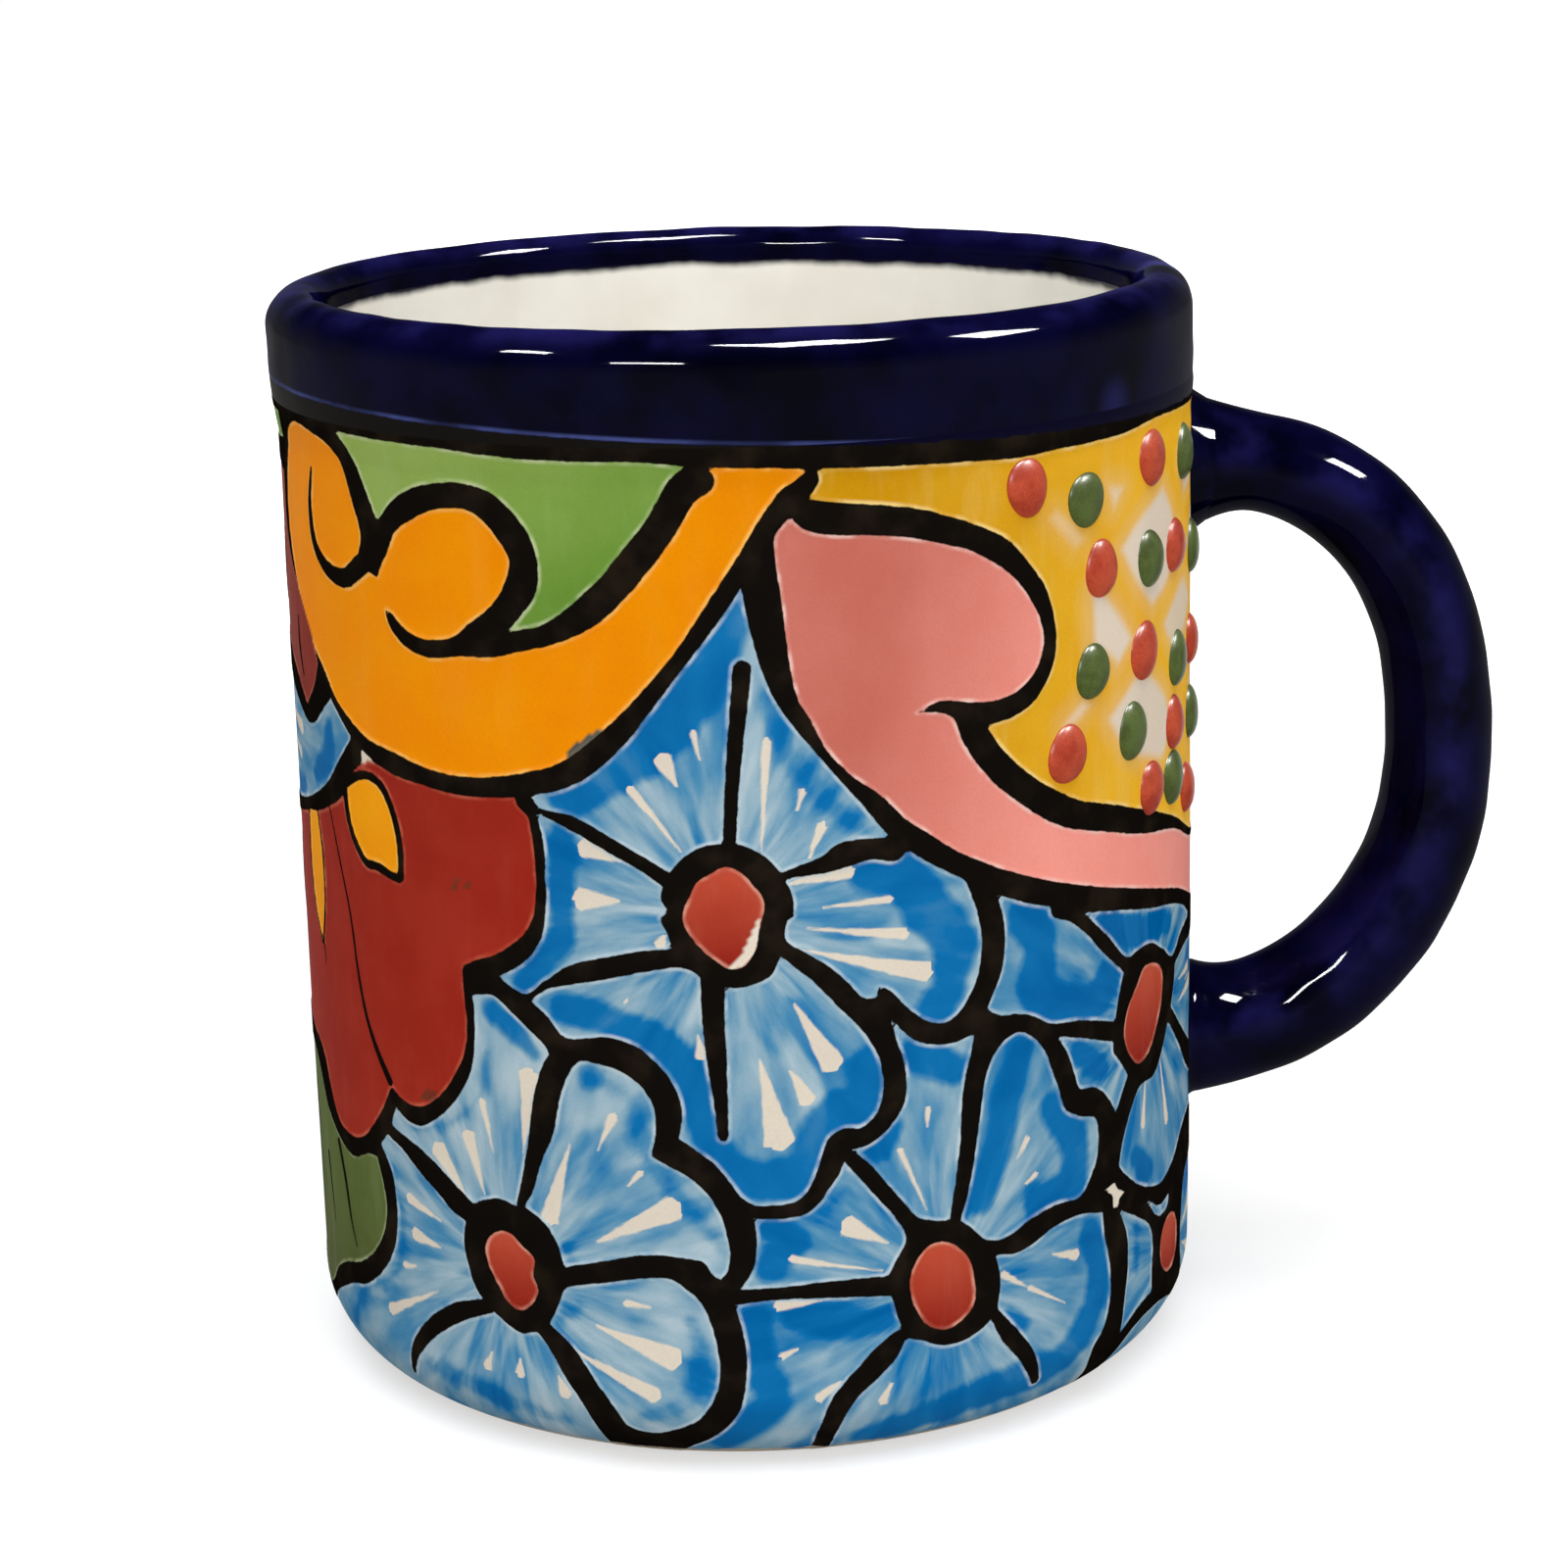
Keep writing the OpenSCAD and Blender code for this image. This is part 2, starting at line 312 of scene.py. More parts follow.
def new_piece(name, points, faces, node, slot):
    """A mesh piece, in metres, that stands for one solid."""
    mesh = bpy.data.meshes.new(name)
    mesh.from_pydata((np.asarray(points) * MM).tolist(), [], [tuple(map(int, f)) for f in faces])
    mesh.validate()
    mesh.polygons.foreach_set("use_smooth", [True] * len(mesh.polygons))
    mesh.set_sharp_from_angle(angle=SHARP_TURN)
    piece = bpy.data.objects.new(name, mesh)
    bpy.context.scene.collection.objects.link(piece)
    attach(piece, "root")
    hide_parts(node)
    print(name, len(mesh.vertices), "points", len(mesh.polygons), "faces")
    return piece


def ring_faces(rows, columns, first=0, closed_rows=False, closed_columns=True):
    """Quads between rows of points, which go once round the axis unless closed_columns is off."""
    row = np.arange(rows if closed_rows else rows - 1)
    column = np.arange(columns if closed_columns else columns - 1)
    a, b = np.meshgrid(row, column, indexing="ij")
    after = (b + 1) % columns
    above = (a + 1) % rows
    low = a * columns
    high = above * columns
    return np.stack([low + b, low + after, high + after, high + b], -1).reshape(-1, 4) + first


def turned_points(profile, columns):
    """A profile turned about the axis, with the wall's drift."""
    angle = np.linspace(-np.pi, np.pi, columns, endpoint=False)
    radius = profile[:, 0][:, None] + drift(angle[None, :], profile[:, 1][:, None])
    z = np.repeat(profile[:, 1][:, None], columns, 1)
    return np.stack([radius * np.cos(angle), radius * np.sin(angle), z], -1)


def set_values(piece, name, kind, values):
    """Stores one value, vector or colour at every point of a piece."""
    layer = piece.data.attributes.new(name, kind, "POINT")
    field = {"FLOAT": "value", "FLOAT_VECTOR": "vector", "FLOAT_COLOR": "color"}[kind]
    layer.data.foreach_set(field, np.ascontiguousarray(values, np.float32).ravel())


RIPPLE_MM = 0.045


def ripple(points):
    """The small waves that a thick glaze keeps when it sets, in mm."""
    x, y, z = points[..., 0], points[..., 1], points[..., 2]
    broad = np.sin(0.45 * x + 0.26 * y + 0.38 * z + 0.3) + np.sin(-0.31 * x + 0.52 * y + 0.60 * z + 1.9)
    narrow = np.sin(0.80 * x - 0.72 * y + 0.22 * z + 4.1) + np.sin(1.15 * z + 0.36 * x + 2.2)
    return RIPPLE_MM * (0.6 * broad + 0.4 * narrow)


print("ripples of the glaze: about", RIPPLE_MM, "mm")

# %% [markdown]
# ## From the picture to the wall
# The painter draws dark outlines, then fills each space with colour. Between two fills lies the outline,
# so the fills are what has to be drawn: the outline is whatever is left. Each fill is a short list of
# points given on the picture. A ray from the camera through a point meets the wall at one angle
# and one height, and a smooth curve through those places is the edge of the fill.

# %% Picture to wall
HIDDEN_TURN = 9.0
HEEL_TRIES = 16
LAST_ANGLES = (-186, 6)


def unrolled(z):
    """Height on the unrolled wall of a height on the mug: the same, but longer round the heel."""
    z = np.asarray(z, float)
    low = np.clip((HEEL_R - z) / (HEEL_R + GLAZE_T), 0, 0.95)
    return np.where(z < HEEL_R, HEEL_R - HEEL_R * np.arcsin(low), z) + np.minimum(z - BARE_FOOT_H, 0)


def on_wall(points):
    """Places on the unrolled wall, in mm along and up, of points on the picture."""
    points = np.asarray(points, float).reshape(-1, 2)
    across = (points[:, 0] - PICTURE_PX / 2) / FOCUS_PX
    down = (points[:, 1] - PICTURE_PX / 2) / FOCUS_PX
    ray = look + across[:, None] * view_right - down[:, None] * view_up
    a = ray[:, 0] ** 2 + ray[:, 1] ** 2
    b = ray[:, 0] * EYE[0] + ray[:, 1] * EYE[1]
    reached = np.full(len(points), CUP_R)
    for _ in range(HEEL_TRIES):
        c = EYE[0] ** 2 + EYE[1] ** 2 - reached ** 2
        reach = (-b - np.sqrt(np.maximum(b ** 2 - a * c, 0))) / a
        spot = EYE + reach[:, None] * ray
        shown_z = np.maximum(spot[:, 2], BARE_FOOT_H)
        reached = np.minimum(outside_radius(shown_z, GLAZE_T), CUP_R)
    angle = np.degrees(np.arctan2(spot[:, 1], spot[:, 0]))
    miss = np.maximum(np.hypot(spot[:, 0], spot[:, 1]) - reached, 0)
    angle = angle + np.where(points[:, 0] > PICTURE_PX / 2, 1, -1) * HIDDEN_TURN * miss
    angle = np.where(angle > 90, angle - 360, angle)
    return np.column_stack([np.radians(np.clip(angle, *LAST_ANGLES)) * CUP_R, unrolled(spot[:, 2])])


def at_angles(spots):
    """Places on the unrolled wall of spots given as (degrees round from the handle, mm up)."""
    spots = np.asarray(spots, float).reshape(-1, 2)
    return np.column_stack([np.radians(spots[:, 0]) * CUP_R, spots[:, 1]])


print("the middle of the picture meets the wall at", on_wall([(800, 800)]).round(1).tolist())

# %% Smooth curves
CORNER = math.cos(math.radians(58))


def smooth_curve(points, closed, steps=7):
    """A curve through points that turns smoothly, and keeps sharp turns as corners."""
    p = np.asarray(points, float)
    count = len(p)
    before = np.roll(p, 1, 0)
    after = np.roll(p, -1, 0)
    back = p - before
    ahead = after - p
    back_len = np.maximum(np.hypot(*back.T), 1e-6)[:, None]
    ahead_len = np.maximum(np.hypot(*ahead.T), 1e-6)[:, None]
    bend = np.sum(back / back_len * ahead / ahead_len, 1)
    blend = (back / back_len * ahead_len + ahead / ahead_len * back_len) / (back_len + ahead_len)
    corner = bend < CORNER
    if not closed:
        corner[0] = corner[-1] = True
    leave = np.where(corner[:, None], ahead / ahead_len, blend)
    arrive = np.where(corner[:, None], back / back_len, blend)
    share = np.linspace(0, 1, steps, endpoint=False)[None, :, None]
    last = count if closed else count - 1
    start, stop = p[:last], after[:last]
    length = ahead_len[:last, :, None]
    way_out = leave[:last, None] * length
    way_in = np.roll(arrive, -1, 0)[:last, None] * length
    h1 = 2 * share ** 3 - 3 * share ** 2 + 1
    h2 = share ** 3 - 2 * share ** 2 + share
    h3 = -2 * share ** 3 + 3 * share ** 2
    h4 = share ** 3 - share ** 2
    curve = (h1 * start[:, None] + h2 * way_out + h3 * stop[:, None] + h4 * way_in).reshape(-1, 2)
    return curve if closed else np.vstack([curve, p[-1]])


square = smooth_curve([(0, 0), (1, 0), (1, 1), (0, 1)], closed=True)
print("a curve through 4 points has", len(square), "points")

# %% Grid of the wall
COLUMNS = 360
ROWS = 240
LOW_EDGE = float(unrolled(BARE_FOOT_H))
front_angle = np.linspace(-np.pi, 0, COLUMNS + 1)
level_up = np.linspace(LOW_EDGE, BAND_Z, ROWS + 1)
grid_along, grid_up = np.meshgrid(front_angle * CUP_R, level_up)
print("points on the front half:", grid_along.size, "spacing", round(np.pi * CUP_R / COLUMNS, 2), "mm")

# %% Depth inside a fill
MARGIN = 3.5


def near_curve(curve):
    """Which grid points lie near a curve, and where they are."""
    low = curve.min(0) - MARGIN
    high = curve.max(0) + MARGIN
    near = (grid_along > low[0]) & (grid_along < high[0]) & (grid_up > low[1]) & (grid_up < high[1])
    return near, np.column_stack([grid_along[near], grid_up[near]])


def edge_distance(spots, curve):
    """Distance of points to a closed curve, and which of them are inside."""
    start = curve
    stop = np.roll(curve, -1, 0)
    way = stop - start
    square = np.maximum(np.sum(way ** 2, 1), 1e-9)
    best = np.full(len(spots), 1e9)
    crossings = np.zeros(len(spots), int)
    for k in range(len(curve)):
        off = spots - start[k]
        share = np.clip(off @ way[k] / square[k], 0, 1)
        best = np.minimum(best, np.sum((off - share[:, None] * way[k]) ** 2, 1))
        spans = (start[k][1] > spots[:, 1]) != (stop[k][1] > spots[:, 1])
        rise = way[k][1] if abs(way[k][1]) > 1e-9 else 1e-9
        crossings += spans & (spots[:, 0] < start[k][0] + way[k][0] * (spots[:, 1] - start[k][1]) / rise)
    return np.sqrt(best), crossings % 2 == 1


def depth_inside(curve):
    """Distance of each grid point into a closed curve, negative outside, and -MARGIN far from it."""
    depth = np.full(grid_along.shape, -MARGIN)
    near, spots = near_curve(curve)
    distance, inside = edge_distance(spots, curve)
    depth[near] = np.maximum(np.where(inside, distance, -distance), -MARGIN)
    return depth


print("depths reach", MARGIN, "mm past an edge")

# %% Strokes and thin lines
def stroke_curve(points, widths):
    """The curve of a brush stroke and half its width at each point of the curve."""
    curve = smooth_curve(points, closed=False)
    run = np.concatenate([[0], np.cumsum(np.hypot(*np.diff(curve, axis=0).T))])
    return curve, np.interp(run / run[-1], np.linspace(0, 1, len(widths)), widths) / 2


def depth_in_stroke(points, widths):
    """Distance of each grid point into a brush stroke whose width changes along it."""
    curve, half_width = stroke_curve(points, widths)
    depth = np.full(grid_along.shape, -MARGIN)
    near, spots = near_curve(curve)
    best = np.full(len(spots), -MARGIN)
    for k in range(len(curve) - 1):
        way = curve[k + 1] - curve[k]
        off = spots - curve[k]
        share = np.clip(off @ way / max(way @ way, 1e-9), 0, 1)
        reach = half_width[k] + (half_width[k + 1] - half_width[k]) * share
        best = np.maximum(best, reach - np.hypot(*(off - share[:, None] * way).T))
    depth[near] = best
    return depth


NO_LINE = -5.0
BLUNT = 2.0
OVERLAP = 0.02


def lay_line(points, widths, side, half, reach):
    """Stores how far, and on which side, near points lie off a thin line, and half its width there."""
    curve, half_width = stroke_curve(points, widths)
    for k in range(len(curve) - 1):
        way = curve[k + 1] - curve[k]
        length = max(np.hypot(*way), 1e-6)
        off_along = grid_along - curve[k][0]
        off_up = grid_up - curve[k][1]
        share = (off_along * way[0] + off_up * way[1]) / length ** 2
        across = (off_up * way[0] - off_along * way[1]) / length
        past = np.maximum(share - 1, 0) * length
        grown = (half_width[k + 1] - half_width[k]) * np.clip(share, 0, 1)
        width = half_width[k] + grown - BLUNT * past
        furthest = OVERLAP * length if k < len(curve) - 2 else 1.0
        near = (share >= -OVERLAP) & (past <= furthest) & (np.abs(across) < width + reach)
        near &= width - np.abs(across) > half - np.abs(side)
        side[near] = across[near]
        half[near] = width[near]


print("half width where no line runs:", NO_LINE)

# %% [markdown]
# ## The painted fills
# The wall carries scrolls of orange and pink, a green corner, a red flower with a leaf, a yellow field for
# the dots, and five blue flowers. Their edges follow, in pixels of the picture, a few points each.

# %% Scrolls and fields
GREEN_CORNER = [
    (345, 439), (370, 445), (420, 453), (470, 460), (520, 467), (570, 470), (685, 474), (700, 476),
    (687, 485), (672, 507), (660, 530), (635, 561), (610, 592), (585, 615), (557, 636), (517, 645),
    (530, 630), (547, 604), (548, 575), (542, 552), (530, 532), (515, 515), (495, 500), (480, 495),
    (435, 494), (415, 500), (400, 510), (384, 532), (372, 500), (357, 460),
]
ORANGE_SCROLL = [
    (302, 430), (320, 440), (335, 452), (345, 467), (357, 507), (367, 550), (363, 572), (384, 590),
    (387, 580), (395, 562), (401, 545), (420, 530), (440, 521), (460, 519), (477, 521), (495, 535),
    (507, 550), (519, 571), (517, 587), (509, 607), (497, 622), (477, 637), (462, 650), (440, 653),
    (425, 650), (410, 640), (397, 625), (392, 622), (395, 635), (405, 652), (420, 665), (435, 671),
    (470, 670), (502, 671), (532, 665), (570, 656), (605, 640), (632, 617), (660, 585), (685, 552),
    (715, 507), (726, 500), (729, 487), (722, 477), (772, 477), (825, 478), (810, 490), (795, 502),
    (780, 522), (760, 555), (722, 615), (685, 670), (660, 700), (635, 727), (610, 750), (570, 779),
    (532, 789), (495, 793), (460, 791), (430, 782), (400, 767), (375, 754), (355, 732), (342, 712),
    (332, 687), (321, 660), (305, 600), (295, 525), (294, 462), (297, 437),
]
PINK_SCROLL = [
    (806, 527), (820, 540), (842, 545), (885, 546), (932, 549), (962, 555), (990, 562), (1015, 575),
    (1035, 590), (1050, 610), (1060, 630), (1064, 652), (1061, 672), (1052, 690), (1037, 705),
    (1012, 715), (985, 716), (960, 715), (936, 727), (960, 727), (969, 730), (982, 757), (997, 780),
    (1015, 800), (1037, 817), (1062, 834), (1090, 845), (1120, 848), (1170, 850), (1184, 847),
    (1195, 845), (1210, 852), (1240, 862), (1240, 915), (1214, 912), (1200, 906), (1170, 906),
    (1125, 905), (1087, 901), (1050, 894), (1015, 884), (980, 870), (950, 852), (920, 832), (900, 812),
    (867, 790), (840, 760), (827, 735), (815, 715), (807, 685), (802, 650), (797, 612), (791, 570),
    (790, 549),
]
YELLOW_FIELD = [
    (834, 478), (937, 474), (1000, 470), (1037, 467), (1075, 459), (1112, 451), (1145, 442),
    (1175, 427), (1205, 414), (1219, 402), (1240, 395), (1240, 850), (1212, 844), (1195, 832),
    (1175, 827), (1130, 820), (1100, 816), (1075, 805), (1050, 790), (1025, 767), (1006, 741),
    (1035, 730), (1055, 715), (1067, 695), (1075, 672), (1077, 650), (1074, 625), (1065, 597),
    (1050, 575), (1030, 552), (1000, 537), (970, 527), (937, 519), (900, 515), (860, 513), (824, 509),
    (835, 492),
]
print("points of the scrolls:", len(ORANGE_SCROLL), "and", len(PINK_SCROLL))

# %% Red flower and leaf
RED_FLOWER = [
    (312, 826), (336, 823), (350, 812), (362, 785), (377, 777), (400, 790), (430, 801), (460, 810),
    (495, 814), (525, 814), (527, 822), (537, 832), (542, 852), (546, 890), (546, 920), (541, 942),
    (527, 960), (505, 974), (482, 981), (471, 986), (473, 1015), (476, 1045), (474, 1072), (462, 1100),
    (445, 1121), (427, 1129), (412, 1122), (400, 1108), (391, 1131), (382, 1147), (370, 1160),
    (359, 1157), (347, 1140), (340, 1112), (333, 1075), (322, 1040),
]
TEARDROP = [
    (354, 804), (362, 798), (375, 796), (386, 804), (395, 822), (401, 842), (405, 865), (406, 892),
    (400, 889), (384, 879), (375, 876), (366, 860), (358, 835),
]
YELLOW_SLIVER = [(317, 825), (324, 827), (329, 865), (332, 915), (331, 958), (324, 920), (319, 870)]
TOP_PETAL = [
    (290, 480), (294, 540), (299, 575), (307, 607), (316, 640), (324, 678), (321, 697), (314, 718),
]
LEAF = [
    (336, 1127), (343, 1148), (352, 1167), (362, 1179), (380, 1177), (386, 1180), (392, 1205),
    (396, 1230), (394, 1255), (385, 1275), (372, 1286), (355, 1287), (347, 1292), (342, 1305),
]
CREAM_GAPS = [
    [(368, 765), (380, 776), (369, 779)],
    [
        (1137, 1206), (1140, 1213), (1147, 1216), (1142, 1222),
        (1141, 1232), (1136, 1232), (1135, 1220), (1126, 1216),
    ],
]
print("points of the red flower:", len(RED_FLOWER), "and of the leaf:", len(LEAF))

# %% Blue flowers
FLOWER_MIDDLES = {
    "left": at_angles([(-180, 66)])[0],
    "main": on_wall([(739, 936)])[0],
    "low": on_wall([(520, 1296)])[0],
    "right": on_wall([(962, 1310)])[0],
    "far": on_wall([(1166, 1035)])[0],
    "small": at_angles([(-23.4, 11.6)])[0],
}

FLOWER_HEARTS = {
    "main": [
        (740, 885), (755, 890), (770, 905), (779, 917), (775, 947), (770, 972), (757, 987), (745, 989),
        (732, 982), (710, 962), (696, 937), (704, 915), (712, 900), (727, 891),
    ],
    "low": [
        (510, 1256), (520, 1258), (532, 1270), (545, 1285), (544, 1302), (549, 1315), (544, 1330),
        (531, 1337), (520, 1330), (510, 1312), (500, 1292), (496, 1275), (500, 1262),
    ],
    "right": [
        (964, 1267), (977, 1272), (990, 1287), (994, 1305), (994, 1330), (982, 1347), (967, 1356),
        (955, 1356), (940, 1345), (931, 1327), (929, 1305), (935, 1287), (947, 1272),
    ],
    "far": [
        (1175, 982), (1184, 990), (1184, 1015), (1179, 1045), (1170, 1075), (1161, 1085), (1151, 1075),
        (1146, 1055), (1149, 1032), (1159, 1005), (1166, 987),
    ],
}
FLOWER_PETALS = {
    "main": [
        [
            (756, 599), (762, 630), (770, 662), (782, 697), (797, 725), (815, 748), (840, 777),
            (867, 807), (887, 830), (907, 854), (880, 856), (855, 861), (837, 875), (817, 882),
            (797, 891), (780, 874), (750, 861), (735, 861), (710, 867), (692, 880), (684, 891),
            (635, 862), (610, 847), (582, 832), (547, 821), (541, 812), (570, 807), (595, 796),
            (620, 777), (640, 757), (672, 715), (710, 665), (740, 625),
        ],
        [
            (547, 830), (560, 836), (590, 852), (620, 870), (655, 890), (676, 905), (674, 917),
            (681, 930), (673, 938), (682, 957), (686, 969), (660, 970), (630, 975), (597, 981),
            (577, 987), (557, 1000), (532, 1014), (520, 1006), (507, 997), (520, 991), (540, 977),
            (552, 957), (556, 935), (556, 890), (554, 860),
        ],
        [
            (560, 1009), (585, 1005), (622, 999), (660, 992), (700, 989), (720, 1000), (740, 1008),
            (765, 1006), (785, 997), (797, 976), (830, 1002), (855, 1027), (880, 1052), (895, 1075),
            (901, 1098), (901, 1115), (895, 1135), (880, 1150), (860, 1152), (847, 1160), (839, 1180),
            (832, 1200), (825, 1215), (810, 1227), (790, 1230), (767, 1229), (757, 1222), (745, 1207),
            (730, 1189), (710, 1174), (692, 1162), (696, 1145), (695, 1128), (685, 1103), (667, 1082),
            (647, 1067), (622, 1059), (572, 1056), (560, 1040), (541, 1021),
        ],
        [
            (800, 896), (835, 892), (867, 884), (887, 877), (917, 877), (926, 867), (937, 874),
            (967, 890), (985, 900), (991, 915), (999, 940), (1001, 970), (997, 997), (987, 1020),
            (975, 1037), (960, 1044), (945, 1041), (925, 1027), (905, 1009), (895, 1006), (896, 1017),
            (885, 1019), (865, 1002), (847, 987), (822, 972), (802, 959), (802, 940), (810, 935),
            (809, 915),
        ],
    ],
    "low": [
        [
            (482, 1016), (492, 1015), (502, 1016), (520, 1032), (540, 1052), (555, 1067), (560, 1075),
            (552, 1090), (546, 1110), (539, 1162), (532, 1205), (527, 1230), (510, 1223), (495, 1224),
            (484, 1228), (470, 1214), (450, 1192), (430, 1172), (410, 1156), (400, 1147), (405, 1130),
            (415, 1142), (430, 1149), (440, 1145), (457, 1132), (472, 1112), (481, 1090), (484, 1062),
            (484, 1040),
        ],
        [
            (352, 1312), (362, 1309), (377, 1309), (392, 1297), (402, 1280), (407, 1255), (406, 1225),
            (400, 1192), (390, 1167), (396, 1157), (410, 1171), (430, 1197), (450, 1220), (462, 1235),
            (476, 1246), (474, 1265), (479, 1292), (487, 1315), (497, 1330), (512, 1345), (532, 1360),
            (549, 1359), (560, 1375), (577, 1405), (595, 1432), (620, 1480), (600, 1500), (480, 1480),
            (420, 1440),
        ],
        [
            (590, 1084), (610, 1086), (635, 1095), (655, 1110), (667, 1132), (669, 1155), (664, 1180),
            (680, 1189), (700, 1200), (720, 1217), (735, 1240), (742, 1262), (745, 1280), (741, 1300),
            (735, 1306), (727, 1301), (720, 1290), (695, 1284), (660, 1281), (622, 1286), (576, 1293),
            (569, 1270), (555, 1247), (535, 1231), (542, 1220), (552, 1187), (565, 1155), (572, 1117),
            (580, 1097),
        ],
        [
            (685, 1306), (700, 1316), (715, 1330), (725, 1350), (732, 1375), (735, 1400), (730, 1425),
            (715, 1447), (695, 1457), (660, 1461), (642, 1455), (630, 1440), (605, 1405), (585, 1375),
            (561, 1351), (572, 1327), (577, 1315), (590, 1312), (622, 1309), (660, 1305),
        ],
    ],
    "right": [
        [
            (909, 1040), (920, 1051), (932, 1061), (950, 1066), (970, 1065), (994, 1055), (990, 1077),
            (986, 1095), (982, 1120), (980, 1162), (976, 1200), (969, 1246), (949, 1245), (937, 1242),
            (925, 1230), (905, 1207), (887, 1187), (869, 1173), (882, 1170), (897, 1161), (912, 1145),
            (924, 1122), (925, 1102), (922, 1080), (917, 1067),
        ],
        [
            (1039, 1053), (1025, 1062), (1014, 1077), (1007, 1095), (1002, 1125), (996, 1172),
            (986, 1225), (980, 1245), (990, 1252), (1008, 1265), (1020, 1265), (1032, 1259),
            (1050, 1245), (1075, 1230), (1105, 1217), (1111, 1205), (1119, 1180), (1120, 1155),
            (1117, 1141), (1102, 1139), (1087, 1132), (1080, 1112), (1073, 1091), (1062, 1067),
            (1050, 1056),
        ],
        [
            (1125, 1237), (1100, 1240), (1075, 1252), (1050, 1272), (1035, 1279), (1015, 1280),
            (1020, 1297), (1020, 1320), (1016, 1338), (1005, 1353), (987, 1366), (962, 1373),
            (937, 1367), (925, 1365), (915, 1385), (895, 1407), (872, 1430), (857, 1455), (845, 1510),
            (960, 1500), (1060, 1460), (1100, 1405), (1115, 1375), (1127, 1352), (1132, 1330),
            (1132, 1285), (1127, 1260),
        ],
        [
            (750, 1332), (790, 1327), (835, 1325), (910, 1322), (912, 1330), (920, 1355), (910, 1361),
            (892, 1377), (870, 1402), (852, 1422), (837, 1455), (825, 1510), (690, 1510), (700, 1478),
            (735, 1462), (755, 1440), (762, 1405), (762, 1380), (757, 1355),
        ],
        [
            (769, 1244), (800, 1244), (822, 1239), (837, 1227), (847, 1212), (857, 1197), (861, 1185),
            (875, 1200), (895, 1222), (915, 1245), (925, 1265), (915, 1285), (906, 1302), (885, 1304),
            (835, 1309), (797, 1314), (755, 1316), (767, 1300), (772, 1280), (772, 1260),
        ],
    ],
    "far": [
        [
            (1017, 912), (1045, 921), (1071, 925), (1072, 932), (1090, 940), (1105, 950), (1120, 967),
            (1146, 992), (1141, 1015), (1137, 1042), (1100, 1041), (1070, 1044), (1055, 1037),
            (1040, 1034), (1022, 1036), (1007, 1030), (1015, 1010), (1022, 990), (1025, 965),
            (1024, 940),
        ],
        [
            (1105, 931), (1137, 929), (1170, 927), (1195, 922), (1207, 925), (1210, 932), (1202, 952),
            (1194, 975), (1185, 968), (1172, 962), (1160, 969), (1152, 976), (1130, 955),
        ],
        [
            (1197, 982), (1205, 965), (1212, 950), (1225, 940), (1240, 960), (1240, 1080), (1211, 1060),
            (1200, 1040), (1193, 1027), (1196, 1002),
        ],
        [
            (1190, 1042), (1200, 1062), (1208, 1085), (1225, 1110), (1225, 1150), (1204, 1150),
            (1195, 1185), (1185, 1205), (1167, 1210), (1150, 1200), (1141, 1190), (1146, 1160),
            (1154, 1130), (1161, 1110), (1177, 1095), (1185, 1068),
        ],
        [
            (1079, 1057), (1110, 1060), (1135, 1063), (1135, 1072), (1141, 1082), (1150, 1097),
            (1145, 1112), (1138, 1135), (1130, 1120), (1115, 1109), (1101, 1110), (1096, 1095),
            (1090, 1077),
        ],
    ],
    "small": [
        [
            (1142, 1235), (1157, 1240), (1175, 1257), (1176, 1280), (1175, 1297), (1175, 1317),
            (1162, 1332), (1142, 1360), (1147, 1330), (1151, 1292), (1150, 1260),
        ],
        [(1169, 1225), (1185, 1228), (1192, 1217), (1191, 1227), (1184, 1240)],
        [(1150, 1362), (1177, 1332), (1190, 1322)],
    ],
}
print("blue petals:", sum(len(petals) for petals in FLOWER_PETALS.values()))

# %% Ink strokes inside the fills
INK_STROKES = [
    (
        [(317, 478), (316, 517), (321, 555), (332, 578), (350, 590), (368, 576), (384, 562)],
        [0.6, 1.2, 1.9, 2.4],
    ),
    ([(757, 683), (752, 740), (747, 800), (744, 866)], [1.7, 1.5, 1.3, 1.2]),
    ([(727, 1000), (728, 1040), (732, 1090), (736, 1130), (738, 1160)], [2.3, 2.1, 1.9, 1.4, 1.0]),
    ([(500, 1332), (470, 1338), (445, 1352), (428, 1372), (424, 1400)], [1.5, 2.0, 1.9, 1.5, 0.4]),
    ([(1014, 1340), (1030, 1362), (1047, 1382), (1056, 1408)], [1.2, 1.9, 1.8, 1.0]),
]
VEINS = [
    (
        [(336, 822), (346, 873), (358, 934), (366, 993), (375, 1040), (388, 1080), (399, 1106)],
        [0.3, 0.35, 0.45, 0.6, 1.0],
    ),
    ([(331, 950), (334, 985)], [0.5, 0.2]),
    ([(304, 625), (306, 660), (310, 690)], [0.4, 0.8, 0.4]),
    ([(346, 1160), (354, 1205), (360, 1245), (366, 1273)], [0.9, 0.7, 0.25]),
    ([(336, 1172), (340, 1210), (344, 1247)], [0.7, 0.5, 0.2]),
]
print("free strokes:", len(INK_STROKES), "veins:", len(VEINS))

# %% [markdown]
# ## The sides that the picture hides
# The picture stops at both edges of the mug. Beyond them the same forms go on by guess, given as degrees
# round from the handle and millimetres up: on the left the red flower closes round two blue petals, above a
# pair of leaves, and on the right the smallest flower gets its last petals below the handle.

# %% Hidden sides
def oval(middle, half_wide, half_tall, steps=20):
    """A round fill about a place given as (degrees, mm)."""
    turn = np.linspace(0, 2 * np.pi, steps, endpoint=False)
    return at_angles([middle])[0] + np.column_stack([half_wide * np.cos(turn), half_tall * np.sin(turn)])


